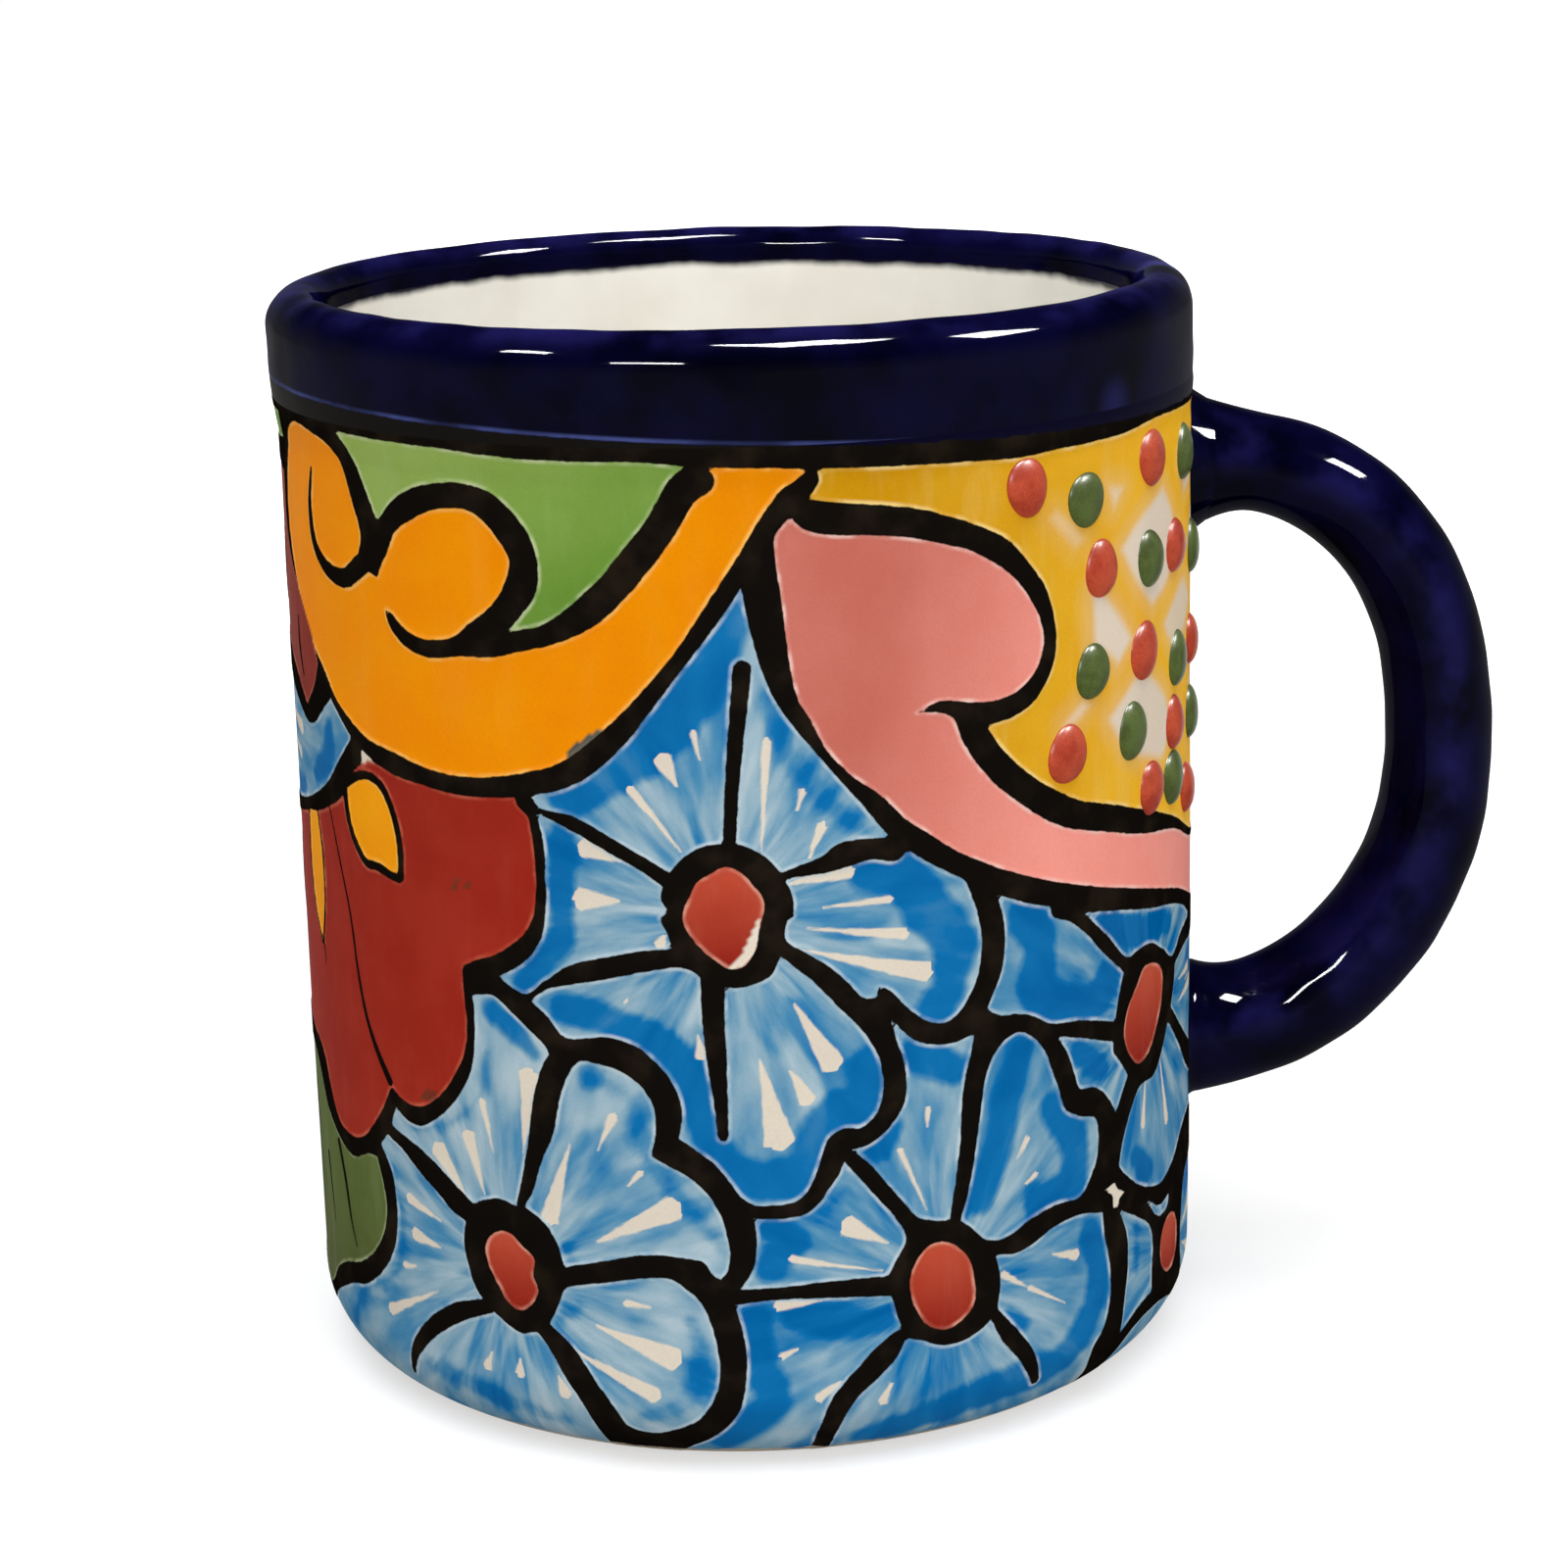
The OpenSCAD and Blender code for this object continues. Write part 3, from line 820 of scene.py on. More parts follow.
GREEN_STRIP_BEHIND = [(-164.4, 98.2), (-164.6, 95.6), (-174, 95.0), (-186, 95.0), (-186, 98.2)]
RED_FLOWER_BEHIND = [(-172.5, 36.2), (-177, 34.6), (-186, 30.8), (-186, 56.2), (-174, 56.4)]
TOP_PETAL_BEHIND = [(-166, 73.0), (-172, 74.8), (-186, 75.4), (-186, 92.4), (-172, 92.6)]
LEAF_BEHIND = [
    (-168, 6.8), (-174, 8.4), (-178.6, 11), (-178.6, 27.2), (-174.5, 31.6), (-169, 32.8), (-164.4, 31.2),
]
LEFT_PETALS = [(337, 713), (358, 753), (345, 777), (335, 797), (324, 808), (310, 812)]
LEFT_PETALS_BEHIND = [(-173, 58.4), (-186, 58.2), (-186, 72.4), (-172, 71.2), (-165, 69.4), (-158.5, 68.0)]
LOW_PETAL_BEHIND = [(-170, -4), (-186, -4), (-186, 6.0), (-177, 4.8), (-169, 4.4)]
SMALL_LOW_PETAL_BEHIND = [(-18.8, 4.2), (-15, 0.8), (-13, -4), (-39, -4), (-38, 2)]
SMALL_SIDE_PETAL = [
    (-17.2, 7.5), (-17.4, 12.5), (-15.5, 16.2), (-9, 17.2), (-1.3, 17), (-1.3, -4), (-8.5, -4),
    (-10.5, 0.6), (-14, 4.2),
]
UPPER_DROP = [
    (-180, 89), (-176.8, 84.6), (-175.4, 81), (-176.8, 78.4), (-180, 77.6), (-183.2, 78.4),
    (-184.6, 81), (-183.2, 84.6),
]
MIDDLE_DROP = [
    (-180, 40.5), (-177, 45.5), (-175.4, 50), (-176.8, 53), (-180, 54), (-183.2, 53), (-184.6, 50),
    (-183, 45.5),
]
STROKE_BEHIND = [(-180, 56), (-180, 66), (-180, 77)]
VEINS_BEHIND = [
    ([(-171.6, 56), (-171, 48), (-171.6, 41), (-173.4, 36.4)], [0.3, 0.5, 0.8, 1.2]),
    ([(-171.5, 90.5), (-170.5, 84), (-171.5, 77)], [0.4, 0.9, 0.4]),
    ([(-175.6, 26), (-174.4, 19), (-173.4, 13)], [0.9, 0.7, 0.25]),
    ([(-169.4, 29.5), (-168.6, 22), (-168, 15)], [0.9, 0.7, 0.25]),
]
DEEP_BEHIND = [
    ([(-14, 15), (-8, 15.6), (-3, 14.6)], 2.6),
    ([(-3, 6), (-3.4, 1), (-6, -1)], 2.4),
    ([(-164, 60.6), (-171, 60)], 2.2),
    ([(-152, 66), (-157, 63)], 2.6),
    ([(-8, 29), (-4, 31)], 4.0),
    ([(-14, 39.8), (-6, 40.2), (0, 40)], 2.6),
]
WEDGES_BEHIND = [
    ((-16.6, 11.5), (-8, 12.2), 1.7),
    ((-16.4, 9.4), (-8.6, 6.6), 1.5),
    ((-172.8, 67.5), (-163.5, 66.6), 1.8),
    ((-172.6, 64.8), (-165.5, 63.6), 1.3),
    ((-20, 36.5), (-10, 36.6), 1.6),
    ((-20, 38.8), (-12.5, 38.6), 1.2),
]
print("hidden veins:", len(VEINS_BEHIND), "strokes:", len(DEEP_BEHIND), "wedges:", len(WEDGES_BEHIND))

# %% [markdown]
# ## Brushwork in the petals
# The blue was laid with a loaded brush: one deep stroke along the outer edge of a petal, then a few pale
# ones drawn towards the middle. Where the brush skipped, thin wedges of bare cream show. A stroke is a
# list of points on the picture and a width in millimetres, first the deep ones and then the soft ones.
# A wedge is its tip, its blunt end and its width there.

# %% Deep strokes and bare wedges
DEEP_STROKES = [
    ([(756, 620), (735, 660), (712, 700), (690, 735), (655, 770), (620, 790), (575, 815)], 4.6),
    ([(573, 850), (572, 900), (570, 960), (535, 1003)], 3.0),
    ([(575, 1028), (635, 1048), (672, 1064), (700, 1090), (712, 1122), (722, 1160), (745, 1195)], 3.6),
    ([(750, 1200), (785, 1208), (815, 1200), (850, 1140), (885, 1120), (888, 1085)], 4.6),
    ([(885, 890), (920, 892), (945, 925), (972, 960), (970, 1000), (955, 1028)], 5.0),
    ([(1045, 935), (1060, 960), (1060, 1005), (1075, 1028), (1120, 1020), (1130, 1000)], 5.0),
    ([(1130, 940), (1155, 950), (1190, 940)], 3.5),
    ([(935, 1075), (960, 1085), (975, 1090)], 4.0),
    ([(890, 1178), (915, 1150)], 2.5),
    ([(1040, 1075), (1030, 1110), (1022, 1160), (1002, 1225)], 4.0),
    ([(1075, 1130), (1095, 1165), (1095, 1205), (1060, 1225)], 4.5),
    ([(1112, 1255), (1122, 1300), (1112, 1342), (1082, 1388), (1030, 1410), (980, 1432), (880, 1465)], 4.0),
    ([(1030, 1345), (1045, 1350)], 2.0),
    ([(772, 1350), (775, 1385), (790, 1430), (740, 1470)], 3.5),
    ([(815, 1345), (870, 1350), (905, 1345)], 3.5),
    ([(790, 1255), (805, 1268), (785, 1295)], 4.0),
    ([(500, 1030), (525, 1052), (545, 1075)], 2.6),
    ([(1100, 1075), (1125, 1090)], 3.0),
    ([(1160, 1180), (1170, 1195)], 3.0),
    ([(335, 740), (335, 780)], 2.0),
    ([(1130, 1410), (1190, 1370)], 3.0),
]
SOFT_STROKES = [
    ([(782, 712), (800, 762), (825, 795), (855, 828), (885, 848)], 3.4),
    ([(495, 1075), (492, 1110), (460, 1146), (420, 1150)], 2.2),
    ([(392, 1180), (412, 1240), (408, 1290), (370, 1322), (365, 1350)], 2.4),
    ([(440, 1390), (482, 1412), (525, 1432), (570, 1447)], 3.6),
    ([(600, 1100), (640, 1118), (655, 1160), (678, 1205), (718, 1250), (735, 1275)], 3.2),
    ([(575, 1270), (582, 1282)], 2.5),
    ([(572, 1345), (590, 1335)], 2.8),
    ([(705, 1350), (715, 1390), (700, 1430), (655, 1447)], 3.4),
    ([(1160, 1250), (1160, 1300)], 1.6),
    ([(845, 1232), (862, 1215)], 2.6),
]
SOFT_STRENGTH = 0.56
# How much more blue the whole of a flower has
FLOWER_TINTS = {"right": 0.12, "far": 0.16, "left": 0.05, "small": 0.08}
BARE_WEDGES = [
    ((692, 806), (675, 773), 1.9),
    ((697, 872), (642, 804), 0.9),
    ((714, 777), (707, 746), 0.7),
    ((777, 872), (782, 754), 1.0),
    ((812, 830), (820, 806), 0.8),
    ((824, 880), (840, 840), 1.1),
    ((635, 880), (594, 864), 2.2),
    ((635, 920), (589, 918), 2.4),
    ((680, 952), (672, 966), 1.4),
    ((800, 903), (868, 887), 1.8),
    ((837, 926), (910, 917), 0.8),
    ((822, 947), (925, 953), 1.2),
    ((818, 969), (948, 992), 2.0),
    ((809, 1022), (851, 1088), 2.4),
    ((775, 1080), (796, 1168), 3.0),
    ((805, 1090), (825, 1124), 1.8),
    ((712, 1055), (716, 1080), 1.3),
    ((636, 1020), (638, 1021), 1.3),
    ((946, 1152), (948, 1130), 0.7),
    ((947, 1237), (918, 1172), 0.7),
    ((1036, 1185), (1050, 1160), 0.8),
    ((1044, 1211), (1059, 1196), 0.7),
    ((1072, 1280), (1100, 1280), 1.3),
    ((1050, 1314), (1022, 1300), 0.9),
    ((1088, 1330), (1050, 1314), 0.6),
    ((912, 1407), (900, 1432), 1.1),
    ((842, 1327), (792, 1333), 1.2),
    ((816, 1376), (796, 1385), 0.9),
    ((862, 1407), (834, 1428), 1.2),
    ((908, 1270), (863, 1250), 2.2),
    ((902, 1297), (806, 1285), 0.8),
    ((534, 1178), (540, 1095), 2.4),
    ((504, 1180), (491, 1122), 0.8),
    ((495, 1220), (477, 1156), 1.7),
    ((477, 1222), (446, 1170), 2.2),
    ((452, 1247), (417, 1221), 1.2),
    ((452, 1274), (423, 1258), 1.6),
    ((427, 1292), (413, 1290), 0.8),
    ((450, 1317), (399, 1336), 1.3),
    ((582, 1164), (560, 1246), 2.0),
    ((609, 1175), (626, 1138), 1.1),
    ((639, 1212), (655, 1196), 0.8),
    ((605, 1269), (690, 1232), 2.6),
    ((668, 1336), (637, 1330), 0.9),
    ((607, 1352), (690, 1388), 2.6),
    ((580, 1374), (670, 1425), 1.8),
    ((503, 1377), (497, 1396), 1.1),
    ((531, 1385), (531, 1404), 1.3),
    ((569, 1402), (578, 1424), 1.5),
    ((1168, 1100), (1166, 1150), 1.0),
    ((1182, 1075), (1190, 1145), 1.0),
]
# Cream gaps between the dots, with how much cream each has
CREAM_DIAMONDS = [
    ([
        (1186, 496), (1197, 538), (1194, 575), (1186, 600),
        (1174, 617), (1158, 592), (1143, 560), (1158, 535),
    ], 0.95),
    ([(1114, 602), (1122, 604), (1136, 620), (1154, 651), (1140, 677), (1127, 666), (1116, 662)], 0.95),
    ([
        (1160, 689), (1182, 700), (1191, 725), (1190, 755),
        (1184, 774), (1147, 762), (1130, 734), (1145, 712),
    ], 0.95),
    ([(1202, 468), (1211, 465), (1213, 488), (1207, 502)], 0.8),
    ([(1206, 590), (1212, 608), (1206, 642), (1194, 656), (1186, 637), (1195, 615)], 0.85),
    ([(1077, 520), (1092, 532), (1107, 551), (1096, 560), (1070, 530)], 0.4),
    ([(1105, 714), (1111, 720), (1096, 738), (1086, 745), (1085, 738)], 0.7),
    ([(1130, 496), (1146, 497), (1136, 520)], 0.7),
]
print("deep strokes:", len(DEEP_STROKES), "soft:", len(SOFT_STROKES), "bare wedges:", len(BARE_WEDGES))

# %% [markdown]
# ## Values on the wall
# A dense grid covers the wall, and each point of it stores what the painter did there: how deep it lies in
# a fill (negative means ink), the tone of the wash and its tone where it runs thin, how much deep blue, how
# blue its flower is as a whole, how far off a bare wedge and a thin vein run, and the direction from the
# middle of its flower, for the brush marks. Distances are better than colours: the material can draw a
# crisp edge between grid points.
# The back of the mug, which the picture hides, repeats the front as in a mirror, so every fill meets its
# own reflection beside and opposite the handle. The wall is made as two halves, front and back, so that
# each has room for a fine grid.

# %% Tones of the fills
def tone(red, green, blue):
    """A colour as picked from a screen, turned into light."""
    c = np.array([red, green, blue]) / 255
    return np.where(c <= 0.04045, c / 12.92, ((c + 0.055) / 1.055) ** 2.4)


# Each fill: first tone, last tone, tone of a thin wash, the way from first to last (right, down), streaks
TONES = {
    "green": (tone(160, 184, 98), tone(106, 146, 56), tone(196, 205, 160), (0.5, 0.9), 0.05),
    "orange": (tone(253, 153, 0), tone(231, 140, 0), tone(246, 190, 100), (1, -0.3), 0.04),
    "pink": (tone(200, 113, 99), tone(248, 157, 143), tone(240, 204, 192), (1, 0.25), 0.02),
    "yellow": (tone(202, 148, 14), tone(253, 193, 48), tone(240, 212, 140), (1, 0.1), 0.12),
    "red": (tone(156, 42, 28), tone(164, 47, 31), tone(196, 98, 74), (0.3, 1), 0.06),
    "drop": (tone(255, 170, 8), tone(247, 159, 5), tone(246, 194, 96), (0, 1), 0.04),
    "brown": (tone(150, 60, 44), tone(140, 50, 36), tone(182, 104, 84), (0, 1), 0.10),
    "leaf": (tone(98, 115, 57), tone(86, 95, 49), tone(160, 172, 130), (0, 1), 0.08),
    "heart": (tone(196, 84, 60), tone(146, 36, 24), tone(226, 164, 140), (0, 1), 0.06),
    "cream": (tone(230, 219, 202), tone(226, 214, 196), tone(226, 214, 196), (0, 1), 0.0),
    "petal": (tone(128, 168, 190), tone(128, 168, 190), tone(194, 208, 214), (0, 1), 0.0),
    "grey": (tone(92, 92, 84), tone(78, 80, 78), tone(120, 112, 90), (0, 1), 0.0),
    "scorch": (tone(126, 54, 38), tone(112, 54, 34), tone(150, 80, 60), (0, 1), 0.0),
}

# Where along its fill a tone starts to change and where it ends
TONE_SPANS = {"pink": (0.15, 0.42), "yellow": (0.1, 0.7)}

TOUCHES = [
    ("cream", [
        (774, 938), (777, 955), (770, 974), (757, 988),
        (742, 991), (750, 980), (760, 968), (768, 952),
    ]),
    ("grey", [(576, 770), (590, 757), (606, 748), (618, 744), (611, 757), (597, 770), (582, 777)]),
    ("scorch", [(460, 906), (463, 897), (468, 899), (466, 909)]),
    ("scorch", [(471, 902), (478, 899), (482, 904), (475, 907)]),
    ("scorch", [(429, 1119), (438, 1112), (447, 1117), (440, 1125)]),
]
print("tones:", len(TONES))

# %% Fills in order
def edge(on_picture, behind=()):
    """The smooth edge of a fill, through points on the picture and then through places it hides."""
    return smooth_curve(np.vstack([on_wall(on_picture), at_angles(behind)]), closed=True)


fills = [
    ("green", None, edge(GREEN_CORNER)),
    ("green", None, edge([], GREEN_STRIP_BEHIND)),
    ("orange", None, edge(ORANGE_SCROLL)),
    ("pink", None, edge(PINK_SCROLL)),
    ("yellow", None, edge(YELLOW_FIELD)),
    ("red", None, edge(RED_FLOWER, RED_FLOWER_BEHIND)),
    ("brown", None, edge(TOP_PETAL, TOP_PETAL_BEHIND)),
    ("leaf", None, edge(LEAF, LEAF_BEHIND)),
    ("petal", "left", edge(LEFT_PETALS, LEFT_PETALS_BEHIND)),
    ("petal", "small", edge([], SMALL_SIDE_PETAL)),
    ("heart", None, oval((-23.4, 11.6), 2.9, 3.1)),
]
LAST_POINTS = {("low", 1): LOW_PETAL_BEHIND, ("small", 2): SMALL_LOW_PETAL_BEHIND}
for flower, petals in FLOWER_PETALS.items():
    for number, petal in enumerate(petals):
        fills.append(("petal", flower, edge(petal, LAST_POINTS.get((flower, number), ()))))
fills += [("cream", None, edge(gap)) for gap in CREAM_GAPS]
fills += [("heart", None, edge(heart)) for heart in FLOWER_HEARTS.values()]
INSETS = [
    ("drop", edge(TEARDROP), 0.9),
    ("drop", edge(YELLOW_SLIVER), 0.5),
    ("drop", edge([], UPPER_DROP), 1.0),
    ("drop", edge([], MIDDLE_DROP), 1.0),
]
print("fills:", len(fills), "insets:", len(INSETS))

# %% Laying the fills
paint = np.full(grid_along.shape, -MARGIN)
wash = np.zeros(grid_along.shape + (4,))
pale = np.ones(grid_along.shape + (4,))
petal_share = np.zeros(grid_along.shape)
yellow_share = np.zeros(grid_along.shape)
spoke = np.zeros(grid_along.shape + (3,))
deep = np.zeros(grid_along.shape)
tint = np.zeros(grid_along.shape)
SPOKE_SCALE = 2.6
SPOKE_STRETCH = 0.055
SPOKE_STEP = 3.7


def lay(kind, flower, curve, where):
    """Writes one fill's tones and brush direction at the grid points where it is the nearest fill."""
    first, last, thin_tone, way, streaks = TONES[kind]
    run = grid_along * way[0] - grid_up * way[1]
    ends = curve[:, 0] * way[0] - curve[:, 1] * way[1]
    start, stop = TONE_SPANS.get(kind, (0, 1))
    share = np.clip(((run - ends.min()) / np.ptp(ends) - start) / (stop - start), 0, 1)[..., None]
    wash[where, :3] = (first * (1 - share) + last * share)[where]
    wash[where, 3] = streaks
    pale[where, :3] = thin_tone
    petal_share[where] = kind == "petal"
    yellow_share[where] = kind == "yellow"
    if flower:
        tint[where] = FLOWER_TINTS.get(flower, 0)
        off = np.stack([grid_along, grid_up], -1) - FLOWER_MIDDLES[flower]
        far = np.maximum(np.hypot(off[..., 0], off[..., 1]), 0.5)
        aim = off / far[..., None] * SPOKE_SCALE
        along = far * SPOKE_STRETCH + SPOKE_STEP * list(FLOWER_MIDDLES).index(flower)
        spoke[where] = np.stack([aim[..., 0], aim[..., 1], along], -1)[where]


for kind, flower, curve in fills:
    depth = depth_inside(curve)
    lay(kind, flower, curve, depth > paint)
    paint = np.maximum(paint, depth)
for points, widths in INK_STROKES:
    paint = np.minimum(paint, -depth_in_stroke(on_wall(points), widths))
paint = np.minimum(paint, -depth_in_stroke(at_angles(STROKE_BEHIND), [2.4, 1.6, 2.4]))
for kind, curve, line_width in INSETS:
    depth = depth_inside(curve)
    lay(kind, None, curve, depth > -line_width / 2)
    paint = np.maximum(depth, np.minimum(paint, -(depth + line_width)))
for kind, points in TOUCHES:
    curve = edge(points)
    lay(kind, None, curve, depth_inside(curve) > 0)
print("share of the wall left to ink:", round(float((paint < 0).mean()), 3))

# %% Laying the brushwork
DEEP_SOFT = 2.1
WEDGE_TIP = 0.12
WEDGE_REACH = 0.5
VEIN_REACH = 0.9
deep_strokes = [(on_wall(points), width, 1.0) for points, width in DEEP_STROKES]
deep_strokes += [(on_wall(points), width, SOFT_STRENGTH) for points, width in SOFT_STROKES]
deep_strokes += [(at_angles(spots), width, 1.0) for spots, width in DEEP_BEHIND]
for points, width, strength in deep_strokes:
    inside = depth_in_stroke(points, [width * 0.8, width, width * 0.8])
    deep = np.maximum(deep, strength * np.clip(0.5 + inside / DEEP_SOFT, 0, 1))
wedge = np.zeros(grid_along.shape)
wedge_half = np.full(grid_along.shape, NO_LINE)
wedges = [(on_wall([tip, wide]), width) for tip, wide, width in BARE_WEDGES]
wedges += [(at_angles([tip, wide]), width) for tip, wide, width in WEDGES_BEHIND]
for ends, width in wedges:
    lay_line(ends, [WEDGE_TIP, width], wedge, wedge_half, WEDGE_REACH)
vein = np.zeros(grid_along.shape)
vein_half = np.full(grid_along.shape, NO_LINE)
for points, widths in VEINS:
    lay_line(on_wall(points), widths, vein, vein_half, VEIN_REACH)
for spots, widths in VEINS_BEHIND:
    lay_line(at_angles(spots), widths, vein, vein_half, VEIN_REACH)
print("brush strokes:", len(deep_strokes), "wedges:", len(wedges))

# %% Lattice and band
# Softness of a cream gap, and a fainter shoulder round it, in mm
GAP_SOFT = 1.1
SHOULDER_WIDE = 2.4
SHOULDER = 0.22
# Half width and softness of a gap that the picture hides, in steps between dots
HIDDEN_GAP = 0.27
HIDDEN_GAP_SOFT = 0.06
HIDDEN_GAP_COVER = 0.9
column = (-np.degrees(grid_along / CUP_R) - DOT_ANGLE) / DOT_STEP
row = (BAND_Z - DOT_DROP - DOT_FALL * (DOT_LAST_COLUMN - column) - grid_up) / DOT_PITCH
lattice = np.zeros(grid_along.shape)
for outline, strength in CREAM_DIAMONDS:
    inside = depth_inside(edge(outline))
    shoulder = SHOULDER * np.clip(1 + inside / SHOULDER_WIDE, 0, 1)
    gap = np.maximum(np.clip(0.5 + inside / GAP_SOFT, 0, 1), shoulder)
    lattice = np.maximum(lattice, strength * gap)
cross = np.abs((column + row) / 2 % 1 - 0.5)
other_cross = np.abs((column - row) / 2 % 1 - 0.5)
hidden_diamonds = np.clip((HIDDEN_GAP - np.maximum(cross, other_cross)) / HIDDEN_GAP_SOFT, 0, 1)
hidden_diamonds *= np.clip((0.75 - column) / 0.2, 0, 1) * np.clip((row + 0.4) / 0.3, 0, 1)
lattice = np.maximum(lattice, HIDDEN_GAP_COVER * hidden_diamonds) * yellow_share

BAND_LINE_Z = 99.2
BAND_LINE_TILT = 1.9
band = grid_up - (BAND_LINE_Z - BAND_LINE_TILT * np.cos(grid_along / CUP_R))
print("lattice covers", round(float(lattice.mean()), 3), "of the wall")

# %% Shape of the wall
INK_HEIGHT = 0.10
INK_SLOPE = 0.5
TOP_FADE_H = 0.8
WORN_FOOT = 0.9
BACKING_ROWS = 24
on_heel = np.clip((HEEL_R - level_up) / HEEL_R, 0, None)
is_heel = level_up < HEEL_R
height = np.where(is_heel, HEEL_R - (HEEL_R + GLAZE_T) * np.sin(on_heel), level_up)
radius = np.where(is_heel, FOOT_R + (HEEL_R + GLAZE_T) * np.cos(on_heel), outside_radius(level_up, GLAZE_T))
top_fade = np.clip((BAND_Z - level_up) / TOP_FADE_H, 0, 1)[:, None]
relief = INK_HEIGHT * np.clip(0.5 - paint / INK_SLOPE, 0, 1) * top_fade
pick = np.linspace(ROWS, 0, BACKING_ROWS).round().astype(int)
to_backing = (radius[pick] - GLAZE_T + HIDDEN_COAT) / radius[pick]
wall_values = {
    "paint": paint, "deep": deep, "tint": tint, "petal": petal_share, "lattice": lattice, "band": band,
    "wedge": wedge, "wedge_half": wedge_half, "vein": vein, "vein_half": vein_half,
    "foot": grid_up - LOW_EDGE - WORN_FOOT, "spoke": spoke, "wash": wash, "pale": pale,
}
print("values at each point of the wall:", len(wall_values))

# %% Two halves of the wall
def wall_points(angle):
    """The painted face of half the wall, then a few rows for its hidden back."""
    grown = radius[:, None] + drift(angle[None, :], height[:, None]) + relief
    level_z = np.repeat(height[:, None], len(angle), 1)
    face = np.stack([grown * np.cos(angle), grown * np.sin(angle), level_z], -1)
    backing = face[pick].copy()
    backing[..., :2] *= to_backing[:, None, None]
    return np.concatenate([face, backing])


# The flat map: its margin and width, where the painted face starts and how tall it is, and its hidden back
MAP_EDGE = 0.004
MAP_WIDE = 0.992
FACE_FROM = 0.05
FACE_TALL = 0.945
BACK_TALL = 0.03


def bake_map(piece, wide):
    """A flat map of the half wall, so that a baked picture of it has no seams inside."""
    corners = np.empty(len(piece.data.loops), int)
    piece.data.loops.foreach_get("vertex_index", corners)
    row, column = corners // wide, corners % wide
    across = MAP_EDGE + MAP_WIDE * column / (wide - 1)
    up = FACE_FROM + FACE_TALL * row / ROWS
    hidden = np.arange(len(corners)) >= 4 * ROWS * (wide - 1)
    turned_back = np.where(row > ROWS, row - ROWS, np.where(row == ROWS, 0, BACKING_ROWS + 1))
    up = np.where(hidden, MAP_EDGE + BACK_TALL * turned_back / (BACKING_ROWS + 1), up)
    layer = piece.data.uv_layers.new(name="OFBake")
    layer.data.foreach_set("uv", np.column_stack([across, up]).astype(np.float32).ravel())


def half_wall(name, angle, flip):
    points = wall_points(angle)
    rows, wide = points.shape[:2]
    faces = [tuple(quad) for quad in ring_faces(rows, wide, closed_rows=True, closed_columns=False)]
    faces.append(tuple(range(0, rows * wide, wide)))
    faces.append(tuple(range(rows * wide - 1, 0, -wide)))
    faces = [face[::-1] for face in faces] if flip else faces
    piece = new_piece(name, points.reshape(-1, 3), faces, "wall_glaze", "painted_glaze")
    for label, values in wall_values.items():
        kind = "FLOAT" if values.ndim == 2 else ("FLOAT_VECTOR" if values.shape[2] == 3 else "FLOAT_COLOR")
        set_values(piece, label, kind, np.concatenate([values, values[pick]]))
    bake_map(piece, wide)
    return piece


front_wall = half_wall("painted_wall_front", front_angle, False)
back_wall = half_wall("painted_wall_back", -front_angle, True)

# %% [markdown]
# ## Rim and lining
# The rim is dipped in cobalt, which runs over the lip and stops in an uneven line inside. The lining is
# poured cream glaze. Both are closed thin shells, turned from the same radii as the solids.

# %% Rim
OUTSIDE_STEPS = 14
OVER_STEPS = 16


def lip_profile(coat):
    """The rim's section from the band's lower edge outside, over the lip, to the band's edge inside."""
    rise = np.linspace(BAND_Z, CLAY_H - LIP_R, OUTSIDE_STEPS)
    outside = np.column_stack([outside_radius(rise, coat), rise])
    over = arc((LIP_MID_R, CLAY_H - LIP_R), LIP_R + coat, 0, 90, OVER_STEPS)
    inside = arc((LIP_MID_R, CLAY_H - LIP_IN_R), LIP_IN_R + coat, 90, 180, 12)
    down = line((INNER_R - coat, CLAY_H - LIP_IN_R), (INNER_R - coat, BAND_INSIDE_Z), 6)
    return np.concatenate([outside, over[1:], inside[1:], down[1:]])


RIM_COLUMNS = 384
COBALT_RUN = 0.5
# A stored distance that is far from any edge
FAR_OFF = 9.0
CREST_FADE = 1.1
shown = lip_profile(GLAZE_T)
hidden = lip_profile(HIDDEN_COAT)[::-HIDDEN_STEP]
section = np.concatenate([shown, hidden])
rim_points = turned_points(section, RIM_COLUMNS)
slope = np.gradient(shown, axis=0)
outward = np.column_stack([slope[:, 1], -slope[:, 0]]) / np.hypot(*slope.T)[:, None]
rim_angle = np.linspace(-np.pi, np.pi, RIM_COLUMNS, endpoint=False)
from_start = np.arange(len(shown))
ends_fade = np.minimum(1, np.minimum(from_start, from_start[::-1]) / 4)[:, None]
waves = ripple(rim_points[:len(shown)]) * ends_fade
rim_points[:len(shown), :, 0] += waves * outward[:, :1] * np.cos(rim_angle)
rim_points[:len(shown), :, 1] += waves * outward[:, :1] * np.sin(rim_angle)
rim_points[:len(shown), :, 2] += waves * outward[:, 1:]
rim_faces = ring_faces(len(section), RIM_COLUMNS, closed_rows=True)
rim = new_piece("cobalt_rim", rim_points.reshape(-1, 3), rim_faces, "rim_glaze", "cobalt_glaze")
rim_band = rim_points[..., 2] - (BAND_LINE_Z - BAND_LINE_TILT * np.cos(rim_angle))[None, :]
section_place = np.arange(len(section))
is_inside = (section_place > OUTSIDE_STEPS + OVER_STEPS - 1) & (section_place < len(shown))
rim_band[is_inside] = FAR_OFF
inner_edge = np.where(is_inside[:, None], rim_points[..., 2] - BAND_INSIDE_Z + COBALT_RUN, FAR_OFF)
set_values(rim, "band", "FLOAT", rim_band)
